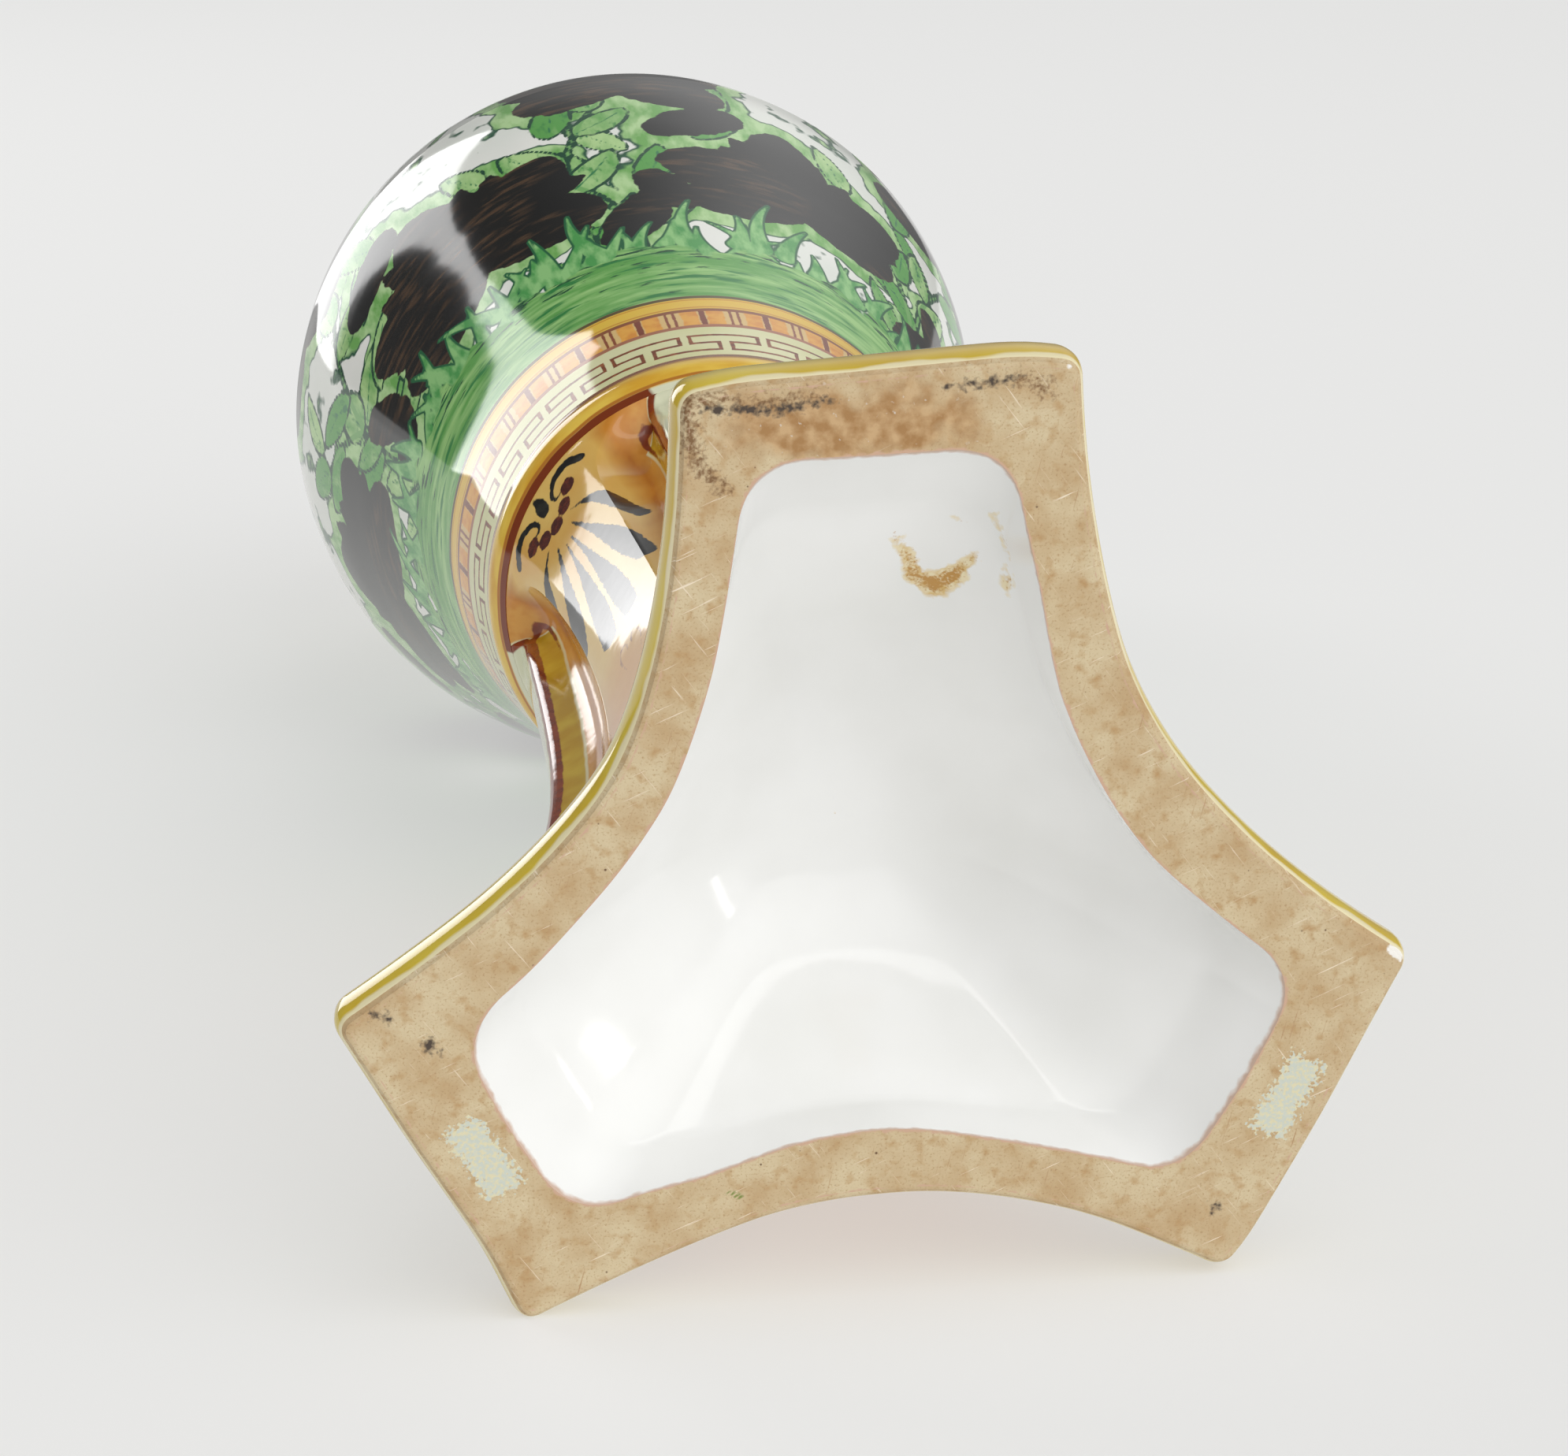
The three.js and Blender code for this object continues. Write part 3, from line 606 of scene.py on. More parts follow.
# %% Painted legs
_, _, seat, seat_half, _ = (v[:, None] for v in stem_section(stem_shares))
seam_x, seam_y = leg_front[:, -1, 0:1], leg_front[:, -1, 1:2]
seam_sink, seat_sink = (0.6, 0.7), (-0.3, 1.5)
tongue = np.stack([np.concatenate([seam_x - seam_sink[0], seat - seat_sink[0]], 1),
                   np.concatenate([seam_y - seam_sink[1], seat_half - seat_sink[1]], 1)], -1)
leg_outline = np.concatenate([mirrored(tongue), mirrored(leg_front)[:, :-1], leg_front, tongue], axis=1)
front_length = length_along(leg_front[:, ::-1])
no_edge = np.zeros((len(stem_shares), 2))
leg_edge_layer = np.concatenate([no_edge, front_length[:, :-1], front_length[:, ::-1], no_edge], axis=1)
leg_marks = [((-6, 112), (0, 118), (6, 112)), ((-7, 96), (0, 90), (7, 96)), ((-4, 128), (0, 133), (4, 128)),
             ((0, 108), (0, 101)), ((-5, 146.3), (-2.5, 147)), ((-6, 142.6), (-4, 143.4))]
leg_scroll = [(8, 146.5), (3, 147.6), (-3, 147), (-7, 144.5), (-5.5, 142.4), (-3.8, 143.6)]
legs = []
for k, side_name in enumerate(("rear", "left", "right")):
    arm = first_arm + k * arm_turn
    rings = raised(hand_trimmed(turned(leg_outline, arm), foot_trims, trim_share), stem_heights)
    canvas = Canvas(rings)

    def on_leg(places, count=16):
        """A path on the front of the leg through (mm to its left, height in mm) places."""
        across, height = spline(places, count).T
        front = np.interp(height, stem_heights, leg_front[:, 0, 0])
        middle = turned(np.stack([front, across], -1), arm)
        return np.concatenate([middle, height[:, None]], axis=1)

    for places in leg_marks:
        canvas.stroke("black", on_leg(places), 0.2 + 0.9 * np.sin(np.linspace(0.1, 3.0, 16)))
    canvas.stroke("hook", on_leg(leg_scroll, 30), 0.3)
    legs.append(make_skin("painted_leg_" + side_name, rings, start=rings[0].mean(0), end=rings[-1].mean(0),
                          layers=canvas.layers() | {"from_edge": leg_edge_layer}))

# %% [markdown]
# ## The turned sections
# Collar, body and neck come off the wheel, so each is a profile spun about the axis. A modifier could
# spin it too, but the painter needs the rings as a canvas.

# %% Turned profiles
body_foot, body_radius, body_wall, body_floor = 41.3, 71.6, 6.0, 10.0
neck_foot_radius, neck_radius, neck_wall, neck_bead, mouth_radius, lip = 30.0, 22.5, 4.5, 2.2, 38.0, 6.0
collar_swell, stem_bore = 1.6, 15.5

lower_shares = [(0, 0), (0.085, 0.107), (0.16, 0.217), (0.275, 0.33), (0.45, 0.48),
                (0.65, 0.64), (0.835, 0.79), (0.955, 0.91), (1, 1)]
upper_shares = [(1, 0), (0.98, 0.16), (0.93, 0.33), (0.84, 0.5), (0.69, 0.67), (0.47, 0.82), (0.2, 0.94),
                (0, 1)]


def spun(profile, around=512):
    """Rings of a turned section: its profile of (radius, height) points at even angles."""
    angle = np.linspace(0, 2 * math.pi, around, endpoint=False)
    return round_axis(profile[:, 0:1], angle, profile[:, 1:2] + 0 * angle)


def inside(profile, wall):
    """A profile moved towards the axis by the wall, square to the line between neighbours."""
    along = unit(np.gradient(profile, axis=0))
    return profile + wall * np.stack([-along[:, 1], along[:, 0]], -1)


def on_profile(profile, degrees, height):
    """Points on a turned surface at angles in degrees and heights in mm."""
    return round_axis(np.interp(height, profile[:, 1], profile[:, 0]), np.radians(degrees), height)


def between(first, last, shares):
    """Places (radius, height) at shares (out, up) of the way from the first place to the last."""
    radius, height = first
    return [(radius + out * (last[0] - radius), height + up * (last[1] - height)) for out, up in shares]


lower_profile = spline(between((body_foot, collar_top), (body_radius, widest), lower_shares), 165)
upper_profile = spline(between((neck_foot_radius, widest), (body_radius, neck_foot), upper_shares), 105)
body_profile = np.vstack([lower_profile, upper_profile[1:]])
collar_middle = collar_foot + 0.65 + collar_swell, (stem_top + collar_top) / 2
collar_profile = spline([(collar_foot, stem_top), collar_middle, (body_foot, collar_top)], 24)
angle = np.linspace(-math.pi / 2, math.pi / 2, 12)
bead = np.stack([neck_foot_radius - neck_bead + neck_bead * np.cos(angle),
                 neck_foot + neck_bead * (1 + np.sin(angle))], -1)
waist_foot = neck_radius, neck_foot
neck_places = [bead[-1], *between(waist_foot, (neck_foot_radius, mouth_top), [(0.2, 0.22), (0, 0.45)]),
               *between(waist_foot, (mouth_radius, mouth_top), [(0.25, 0.72)]),
               (mouth_radius - neck_wall / 2, mouth_top - lip)]
neck_profile = spline(neck_places, 100)
lip_places = [neck_profile[-1], (mouth_radius, mouth_top - 0.7 * lip),
              (mouth_radius + 0.4, mouth_top - 0.35 * lip), (mouth_radius - 0.4 * neck_wall, mouth_top),
              (mouth_radius - neck_wall, mouth_top - 0.3 * lip)]
lip_profile = spline(lip_places, 26)

# %% [markdown]
# ## The painting on the body
# Black vine leaves and olives stand on a white ground, with green leaves, scrolls and a meadow of
# blades above the rings. The picture is made up for this model: only its colours and the size of its
# brush strokes follow the vase.

# %% Leaves, fruit and blades
chance = np.random.default_rng(7)
body = Canvas(spun(body_profile))
vein_width = 0.22


def on_body(start, heading, length, bend=0.0, count=12, profile=body_profile):
    """A curved path from (degrees, height): it leaves along the heading, in degrees from upwards to
    the left, and turns by the bend, in degrees, over its length in mm."""
    way = np.linspace(0, 1, count)
    turn = np.radians(heading + bend * way)
    step = length / (count - 1)
    across = np.concatenate([[0], np.cumsum(np.sin(turn[1:]) * step)])
    along = np.concatenate([[0], np.cumsum(np.cos(turn[1:]) * step)])
    clay = length_along(profile)
    place = np.interp(start[1], profile[:, 1], clay) + along
    height = np.interp(place, clay, profile[:, 1])
    radius = np.interp(place, clay, profile[:, 0])
    return on_profile(profile, start[0] + np.degrees(across / radius), height)


def leaf_widths(half_width, count=12, fullest=0.4):
    """Half widths of a leaf: they rise and fall like a sine whose top is at the fullest share."""
    way = np.linspace(0, 1, count)
    bent = np.where(way < fullest, way / fullest / 2, 0.5 + (way - fullest) / (1 - fullest) / 2)
    return half_width * np.sin(np.pi * np.clip(bent, 0.02, 0.99)) ** 0.8


def green_leaf(canvas, start, heading, length, half_width, bend, profile=body_profile):
    """A leaf with a dark outline, a tone of its own and a vein that ends before its tip."""
    path = on_body(start, heading, length, bend, profile=profile)
    canvas.stroke("leaf", path, leaf_widths(half_width), tone=chance.random(), outlined=True)
    canvas.stroke("vein", path[1:-2], vein_width)


def vine_leaf(canvas, start, size, heading):
    """A black leaf of five broad lobes with cut edges, each a fan of short strokes."""
    for side in (-2, -1, 0, 1, 2):
        turn = heading + 52 * side + chance.uniform(-6, 6)
        length = size * (1.0, 0.9, 0.72)[abs(side)] * chance.uniform(0.92, 1.08)
        lobe = on_body(start, turn, length, bend=chance.uniform(-12, 12))
        canvas.stroke("dark", lobe, leaf_widths(size * 0.25, fullest=0.55) + 1.2)
        for tooth in (-1, 1):
            tip = on_body(start, turn + 13 * tooth, length * chance.uniform(0.8, 0.95), bend=16 * tooth)
            canvas.stroke("dark", tip, leaf_widths(size * 0.13, fullest=0.6) + 0.5)


def olive(canvas, start, heading, size):
    """A black fruit, fuller in the middle than at its ends."""
    path = on_body(start, heading, size, count=4)
    canvas.stroke("dark", path, size * 0.42 * np.array([0.75, 1.0, 1.0, 0.8]))


def scroll_spray(canvas, start, heading, length, bend, leaves):
    """A stalk with leaves on both sides that shrink towards its end."""
    stalk = on_body(start, heading, length, bend, count=24)
    canvas.stroke("stalk", stalk, np.linspace(1.1, 0.45, 24), outlined=True)
    for number in range(leaves):
        way = (number + 0.8) / leaves
        place = stalk[int(way * 23)]
        degrees = math.degrees(math.atan2(place[1], place[0]))
        side = 1 if number % 2 else -1
        leaf_heading = heading + bend * way + side * chance.uniform(35, 60)
        leaf_length = chance.uniform(16, 23) * (1.15 - 0.4 * way)
        green_leaf(canvas, (degrees, place[2]), leaf_heading, leaf_length, chance.uniform(3.4, 4.8),
                   -side * chance.uniform(5, 35))


# Each olive and single leaf has (degrees from the middle, height in mm, heading in degrees).
olives = (31, 216, 30), (40, 226, -25), (-26, 258, 60), (64, 320, 15), (8, 322, -30)
single_leaves = (34, 250, -40), (-31, 236, 35), (22, 262, 10), (-14, 268, -20), (47, 255, 20)
repeats, blade_count, top_leaf_count = 5, 120, 30
for number in range(repeats):
    middle = 50 + 360 / repeats * number + chance.uniform(-5, 5)
    scroll_spray(body, (middle - 36, 196), -28 + chance.uniform(-6, 6), 84, 60, 7)
    scroll_spray(body, (middle + 30, 200), 20 + chance.uniform(-6, 6), 70, -75, 6)
    scroll_spray(body, (middle + 4, 292), 30, 58, -60, 5)
    scroll_spray(body, (middle - 24, 288), -30, 52, 60, 5)
    vine_leaf(body, (middle, 232 + chance.uniform(-4, 4)), chance.uniform(31, 36), chance.uniform(-14, 14))
    vine_leaf(body, (middle + 36, 286 + chance.uniform(-5, 5)), chance.uniform(27, 31),
              chance.uniform(-25, 25))
    for degrees, height, heading in olives:
        start = middle + degrees + chance.uniform(-3, 3), height + chance.uniform(-3, 3)
        olive(body, start, heading, chance.uniform(11, 15))
    for degrees, height, heading in single_leaves:
        green_leaf(body, (middle + degrees, height), heading, chance.uniform(16, 22),
                   chance.uniform(3.2, 4.4), chance.uniform(-40, 40))
for number in range(blade_count):
    degrees = (number + chance.uniform(-0.4, 0.4)) * 360 / blade_count
    blade = on_body((degrees, chance.uniform(201, 212)), chance.uniform(-34, 34), chance.uniform(9, 21),
                    bend=chance.uniform(-45, 45), count=8)
    body.stroke("blade", blade, np.linspace(2.1, 0.1, 8))
for number in range(top_leaf_count):
    start = number * 360 / top_leaf_count + chance.uniform(-2, 2), 349 + chance.uniform(-1, 2)
    green_leaf(body, start, 180 + chance.uniform(-14, 14), chance.uniform(15, 21), 3.0,
               chance.uniform(-25, 25))
painted = body.layers()
print("body layers:", sorted(painted))

# %% Collar and body
collar_line = np.vstack([[(stem_bore, stem_top)], collar_profile, [(stem_bore, collar_top)]])
collar = make_skin("collar_ring", spun(collar_line), wrap=True)


def painted_rows(rows, bare_rows):
    """The body's layers on some of its rows, and rows added for the bare inside of a section."""
    return {name: np.vstack([values[rows], np.full((bare_rows, values.shape[1]), far)])
            for name, values in painted.items()}


floor_level = collar_top + body_floor
inner_lower = inside(lower_profile, body_wall)[::8]
inner_lower = inner_lower[inner_lower[:, 1] > floor_level + body_wall]
inner_foot = body_foot - body_wall
inner_lower = np.vstack([[(0.8 * inner_foot, floor_level), (inner_foot, floor_level + 3)], inner_lower,
                         [(body_radius - body_wall, widest)]])
lower_layers = painted_rows(slice(0, len(lower_profile)), len(inner_lower))
body_lower = make_skin("body_lower_half", spun(np.vstack([lower_profile, inner_lower[::-1]])),
                       start=(0, 0, collar_top), end=(0, 0, floor_level), layers=lower_layers)
inner_upper = inside(upper_profile, body_wall)[4:-2:6]
neck_bore = neck_foot_radius - neck_wall
inner_upper = inner_upper[inner_upper[:, 0] > neck_bore + 1]
inner_upper = np.vstack([[(body_radius - body_wall, widest)], inner_upper, [(neck_bore, neck_foot)]])
upper_layers = painted_rows(slice(len(lower_profile) - 1, None), len(inner_upper))
body_upper = make_skin("body_upper_half", spun(np.vstack([upper_profile, inner_upper[::-1]])), wrap=True,
                       layers=upper_layers)

# %% Neck and mouth
inner_neck = inside(neck_profile, neck_wall)[3:-3:3]
neck_line = np.vstack([bead[:-1], neck_profile, lip_profile[1:], inner_neck[::-1], [(neck_bore, neck_foot)]])
neck_leaves = (370, 22, 21), (370, -22, 21), (387, 0, 26), (409, 28, 17), (409, -28, 17)
neck_around, neck_repeats = 320, 8
neck_canvas = Canvas(spun(neck_line, neck_around))
for degrees in range(0, 360, 360 // neck_repeats):
    for height, heading, length in neck_leaves:
        start = degrees + 10 + heading / 8, height
        green_leaf(neck_canvas, start, heading, length, 2.5, heading / 2, neck_profile)
    for height, length, half_widths in ((380, 9, [2.2, 3.1, 3.0, 2.0]), (402, 7, [1.8, 2.5, 2.4, 1.6])):
        olive_path = on_body((degrees + 32, height), 0, length, count=4, profile=neck_profile)
        neck_canvas.stroke("dark", olive_path, half_widths)
neck = make_skin("neck_and_mouth", spun(neck_line, neck_around), wrap=True, layers=neck_canvas.layers())

# %% [markdown]
# ## The handles
# Each handle was pulled as a strap, bent and pressed on at both ends. A Bezier curve with a bevel
# could stand for it, but the strap widens where the thumb pressed it down, so the section is swept
# along the path by formula.

# %% Handles
handle_reach, handle_width, handle_thickness = 58.0, 15.0, 8.5
handle_drop, handle_fall, handle_sink = 20.0, 15.0, 5.0
oblong_power, root_growth, groove_depth, groove_width = 0.6, 0.34, 0.5, 2.2
strap_shares = [(0.4, 1.07), (0.8, 1.02), (1, 0.8), (1, 0.52), (0.94, 0.26)]


def root_on(profile, height):
    """The place on a profile at a height, and the place a little deeper in the clay."""
    k = int(np.argmax(profile[:, 1] >= height))
    along = profile[k] - profile[k - 1]
    inwards = np.array([-along[1], along[0]]) / np.linalg.norm(along)
    return profile[k], profile[k] + handle_sink * inwards


upper_root, upper_sunk = root_on(neck_profile, mouth_top - handle_drop)
lower_root, lower_sunk = root_on(upper_profile, neck_foot - handle_fall)
bends = between((upper_root[0], lower_root[1]), (handle_reach, upper_root[1]), strap_shares)
strap_path = spline([upper_sunk] + bends + [lower_root, lower_sunk], 150)


def strap_skin(path):
    """Rings of the strap and the distance of each point from the strap's middle line.

    Across the path the section is a rounded oblong, sine and cosine to the power 0.6, which grows by
    a third towards either root. Along its outer face runs a shallow groove.
    """
    along = unit(np.gradient(path, axis=0))
    way = np.linspace(0, 1, len(path))[:, None]
    grow = 1 + root_growth * (np.exp(-way / 0.07) + np.exp((way - 1) / 0.06))
    angle = np.linspace(0, 2 * math.pi, 72, endpoint=False)
    wide, out = (np.sign(wave) * np.abs(wave) ** oblong_power * size / 2 * grow for wave, size in (
        (np.sin(angle), handle_width), (np.cos(angle), handle_thickness)))
    out = out + groove_depth * np.exp(-(wide / groove_width) ** 2) * (np.cos(angle) < 0)
    rings = np.stack([path[:, 0:1] + along[:, 1:2] * out, wide, path[:, 1:2] - along[:, 0:1] * out], -1)
    return rings, np.abs(wide) / grow


handle_skin, across_strap = strap_skin(strap_path)
handles = []
for side_name, sign in (("right", 1), ("left", -1)):
    rings = handle_skin * [sign, sign, 1]
    handles.append(make_skin("strap_handle_" + side_name, rings, start=rings[0].mean(0),
                             end=rings[-1].mean(0), layers={"across": across_strap}))

# %% [markdown]
# ## Glazes
# Each finish is a small graph of nodes. The sizes of all patterns are in millimetres of the object's
# own coordinates, and painted shapes come from the canvases' layers.

# %% Nodes and colours


def linear(colour):
    """The scene's linear colour of an sRGB colour such as D2B375."""
    values = [int(colour[k:k + 2], 16) / 255 for k in (0, 2, 4)]
    return tuple(v / 12.92 if v <= 0.04045 else ((v + 0.055) / 1.055) ** 2.4 for v in values) + (1.0,)


def add_node(tree, kind, inputs=None, out=0, **settings):
    """Adds a shader node, fills its inputs with values or other nodes' outputs, gives one output."""
    node = tree.nodes.new("ShaderNode" + kind)
    for key, value in settings.items():
        setattr(node, key, value)
    for key, value in (inputs or {}).items():
        if isinstance(value, bpy.types.NodeSocket):
            tree.links.new(value, node.inputs[key])
        else:
            node.inputs[key].default_value = value
    return node.outputs[out] if node.outputs else node


def emptied(owner):
    """The node tree of a material or world, switched on and emptied."""
    owner.use_nodes = True
    owner.node_tree.nodes.clear()
    return owner.node_tree


def place_in_mm(tree, stretch=(1, 1, 1), turn=0.0):
    """The object's coordinates in mm, turned about the axis, each times its stretch."""
    place = add_node(tree, "TexCoord", out=3)
    place = add_node(tree, "Mapping", {"Vector": place, "Rotation": (0, 0, turn)})
    return add_node(tree, "Mapping", {"Vector": place, "Scale": [s / MM for s in stretch]})


def height_in_mm(tree):
    """The height above the foot face in mm."""
    return add_node(tree, "SeparateXYZ", {0: place_in_mm(tree)}, out=2)


def grain(tree, size, detail=2.0, stretch=(1, 1, 1), turn=0.0):
    """Noise from 0 to 1 whose blots measure about size mm, less where a stretch is over 1."""
    place = place_in_mm(tree, stretch, turn)
    return add_node(tree, "TexNoise", {"Vector": place, "Scale": 1 / size, "Detail": detail})


def ragged(tree, value, *noises):
    """A value that noises raise and lower, one after the other.

    Each noise is given by the size of its blots in mm and its amount, half of which it adds at most.
    """
    for size, amount in noises:
        noise = add_node(tree, "MapRange", {0: grain(tree, size), 1: 0.2, 2: 0.8, 3: -amount / 2,
                                            4: amount / 2})
        value = add_node(tree, "Math", {0: value, 1: noise}, operation="ADD")
    return value


def cover(tree, base, value, low, high, colour):
    """Base colour with another laid over it, not at all where the value is low, fully where high."""
    share = add_node(tree, "MapRange", {0: value, 1: low, 2: high})
    base, colour = (linear(c) if isinstance(c, str) else c for c in (base, colour))
    return add_node(tree, "Mix", {0: share, 6: base, 7: colour}, out=2, data_type="RGBA")


def blots(tree, first, second, size, low=0.35, high=0.7, detail=2.0, stretch=(1, 1, 1)):
    """Two colours in blots of about size mm: the first where noise is low, the second where high."""
    return cover(tree, first, grain(tree, size, detail, stretch), low, high, second)


def coats(tree, base, *rows):
    """Base colour with coats laid over it, one after the other.

    Each row names the painter's layer that the coat follows, or the height, and gives the noises
    that make its edge ragged, the values at which the coat is missing and full, and its colour.
    """
    for layer, noises, low, high, colour in rows:
        value = height_in_mm(tree) if layer == "height" else add_node(
            tree, "Attribute", out=2, attribute_name=layer)
        base = cover(tree, base, ragged(tree, value, *noises), low, high, colour)
    return base


def ring_lines(tree, base, lines, wobble=0.25):
    """Base colour with lines round the vase, each from one height to another in mm."""
    height = ragged(tree, height_in_mm(tree), (14, wobble))
    for low, high, colour in lines:
        away = add_node(tree, "Math", {0: height, 1: (low + high) / 2}, operation="SUBTRACT")
        away = add_node(tree, "Math", {0: away}, operation="ABSOLUTE")
        half = (high - low) / 2
        base = cover(tree, base, away, half + stroke_edge, half - stroke_edge, colour)
    return base


def finish(name, paint, roughness=0.08, ripple=0.02, ripple_size=9.0):
    """A fired finish: paint gives its colour, and ripples of some hundredths of a mm bend the gloss."""
    material = bpy.data.materials.new(name)
    tree = emptied(material)
    bump = add_node(tree, "Bump", {"Strength": 1.0, "Distance": ripple * MM,
                                   "Height": grain(tree, ripple_size)})
    shader = add_node(tree, "BsdfPrincipled", {"Base Color": paint(tree), "Roughness": roughness, "IOR": 1.5,
                                               "Normal": bump})
    add_node(tree, "OutputMaterial", {"Surface": shader})
    return material


# %% Colours of the palette
# Each is written once where several pieces share it. A pair passes from one to the other in blots.
white_ground, cream, brown = ("EEEEE8", "E0E5DC"), ("DEDFC2", "D3D7AE"), ("7C3414", "933F16")
yellow, red_brown = ("D6BE44", "C9A72A"), "8A4520"
stroke_edge = 0.12

# %% White glaze in the dish


def paint_dish(tree):
    return coats(
        tree, blots(tree, "F2F2F0", "ECECE9", 22),
        ("smudge", [(1.6, 1.6), (4, 1.2)], 0.3, -0.3, blots(tree, "E9DBB6", "D5B26C", 1.6, 0.4, 0.65, 3)),
        ("smudge", [(0.45, 2.2), (3, 1.4)], -0.5, -1.5, "BC8C44"),
        ("speck", [(0.5, 0.4)], 0.1, -0.1, "4A4A48"),
        ("to_rim", [(2.0, 0.7)], -0.75, -0.2, "CDB2A0"))


dish_glaze = finish("white_tin_glaze", paint_dish, roughness=0.09, ripple=0.03, ripple_size=14)

# %% Bare fired clay


def paint_biscuit(tree):
    """Speckled buff clay with scratches and pores, then stains, worn edges, dirt and two labels."""
    base = blots(tree, "D0BE9A", "BEA279", 8, 0.38, 0.66, 6)
    base = cover(tree, base, grain(tree, 2.2, 5), 0.52, 0.78, "B48F5E")
    base = cover(tree, base, grain(tree, 0.35, 3), 0.55, 0.8, "A88558")
    for turn, tone in ((0.4, "EBDCC4"), (1.3, "B4916A"), (2.2, "E6D6BC")):
        base = cover(tree, base, grain(tree, 2.4, 4, (0.25, 6, 1), turn), 0.66, 0.74, tone)
    pores = add_node(tree, "TexVoronoi", {"Vector": place_in_mm(tree), "Scale": 1 / 2.6})
    base = cover(tree, base, ragged(tree, pores, (5, 0.25)), 0.03, -0.02, "6E5238")
    stain = blots(tree, "C6A478", "A57C4C", 2.4, 0.38, 0.62, 5)
    stain = cover(tree, stain, grain(tree, 1.1, 4), 0.66, 0.74, "D9D2C6")
    return coats(
        tree, base,
        ("patch", [(5, 6)], 2.2, -2.2, stain),
        ("scrawl", [(0.9, 4), (0.4, 2)], 0.4, -1.6, "7E5E3C"),
        ("to_rim", [(1.5, 0.9)], 0.45, 0.1, "C9A58C"),
        ("dirt", [(1.2, 2.2), (0.5, 0.8)], 0.1, -0.9, "4A3E34"),
        ("label", [(1.0, 2.6), (0.5, 1.2)], -0.1, -0.5, blots(tree, "C9CEC2", "DAD3B0", 0.6, 0.45, 0.6)),
        ("green", [(0.8, 0.8)], 0.2, -0.2, "7F8A45"),
        ("chip", [(0.9, 0.6)], 0.2, -0.1, "F0ECE4"))


biscuit = finish("bare_fired_clay", paint_biscuit, roughness=0.75, ripple=0.12, ripple_size=1.3)

# %% Yellow glaze on the plinth's side


def paint_side(tree):
    """Yellow glaze, cream in a band near its foot and bare clay below that, with a brown line at its top."""
    return coats(
        tree, blots(tree, *yellow, 12),
        ("height", [(9, 1.3)], 1.7, 1.2, "E8DDB4"),
        ("height", [(3, 0.5)], 0.75, 0.45, "CFAE8E"),
        ("height", [(8, 1.0)], 8.4, 9.0, "B8791F"))


side_glaze = finish("yellow_glaze", paint_side)

# %% Ochre panels


def paint_panel(tree):
    """Ochre wash, orange-brown in the creases where glaze pooled and with painted shade there, a yellow edge
    strip with a painted highlight beside it, and palmettes.
    """
    # The orange-brown coats near the creases are pooled glaze and also painted shade.
    pooled_glaze_and_shade = [(9, 2.0)]
    base = coats(
        tree, blots(tree, "E3BF6A", "DBA850", 11, 0.36, 0.68, 3, (1, 1, 0.5)),
        ("height", [(20, 30)], 88, 56, "D49238"),
        ("from_edge", pooled_glaze_and_shade, 13, 8.5, blots(tree, "D08A30", "B87028", 6, 0.4, 0.6, 3, (1, 1, 0.3))),
        ("from_edge", pooled_glaze_and_shade, 8.2, 6.2, blots(tree, "D08A34", "DDA24A", 5, 0.42, 0.6, 3, (1, 1, 0.25))))
    edge = add_node(tree, "Attribute", out=2, attribute_name="from_edge")
    wide = add_node(tree, "MapRange", {0: height_in_mm(tree), 1: strip_top - 2, 2: strip_top + 2.4,
                                       3: strip_width + 0.5, 4: 0.0})
    strip = add_node(tree, "Math", {0: ragged(tree, edge, (12, 0.8)), 1: wide}, operation="SUBTRACT")
    # The pale cream line along the yellow strip's far side and over its top is a painted highlight.
    base = cover(tree, base, strip, 0.7, 0.4, "E6DCB0")
    base = cover(tree, base, strip, 0.15, -0.15, blots(tree, "D6B535", "C49A1E", 7, 0.35, 0.65))
    return coats(
        tree, base,
        ("outline", [(2.5, 0.45)], stroke_edge, -stroke_edge, blots(tree, *brown, 2, 0.4, 0.65)),
        ("black", [(1.4, 0.5)], 0.1, -0.12, blots(tree, "12120F", "2A2A22", 2.5, 0.5, 0.72)),
        ("berry", [(1.2, 0.6)], 0.1, -0.12, blots(tree, "45160C", "6B2A16", 1.2, 0.4, 0.7)),
        ("hook", [(1.5, 0.25)], stroke_edge, -stroke_edge, "7A3A22"))


panel_glaze = finish("ochre_panel_glaze", paint_panel, ripple=0.05, ripple_size=7)

# %% Cream legs


def paint_leg(tree):
    return coats(
        tree, blots(tree, *cream, 13),
        ("from_edge", [(6, 0.6)], 1.9, 1.5, blots(tree, *brown, 2, 0.4, 0.65)),
        ("black", [(1.4, 0.5)], 0.1, -0.12, "161613"),
        ("hook", [(1.5, 0.2)], stroke_edge, -stroke_edge, "8A6A72"))


leg_glaze = finish("cream_leg_glaze", paint_leg, ripple=0.05, ripple_size=7)

# %% [markdown]
# ## Repeated bands
# A key pattern and a row of blocks run round the foot of the body. The angle about the axis, taken
# times the number of repeats, gives a cell's own coordinates, and the pattern is drawn in it once.

# %% Cells and bars


def cell_place(tree, repeats, foot, height):
    """Coordinates in a repeated cell: x from 0 to 1 along it, y from 0 at its foot to 1 at its top."""
    place = place_in_mm(tree)
    x, y, z = (add_node(tree, "SeparateXYZ", {0: place}, out=k) for k in range(3))
    turn = add_node(tree, "Math", {0: y, 1: x}, operation="ARCTAN2")
    turn = add_node(tree, "Math", {0: turn, 1: repeats / (2 * math.pi)}, operation="MULTIPLY")
    along = add_node(tree, "Math", {0: turn}, operation="FRACT")
    up = add_node(tree, "MapRange", {0: z, 1: foot, 2: foot + height}, clamp=False)
    return add_node(tree, "CombineXYZ", {0: along, 1: up})


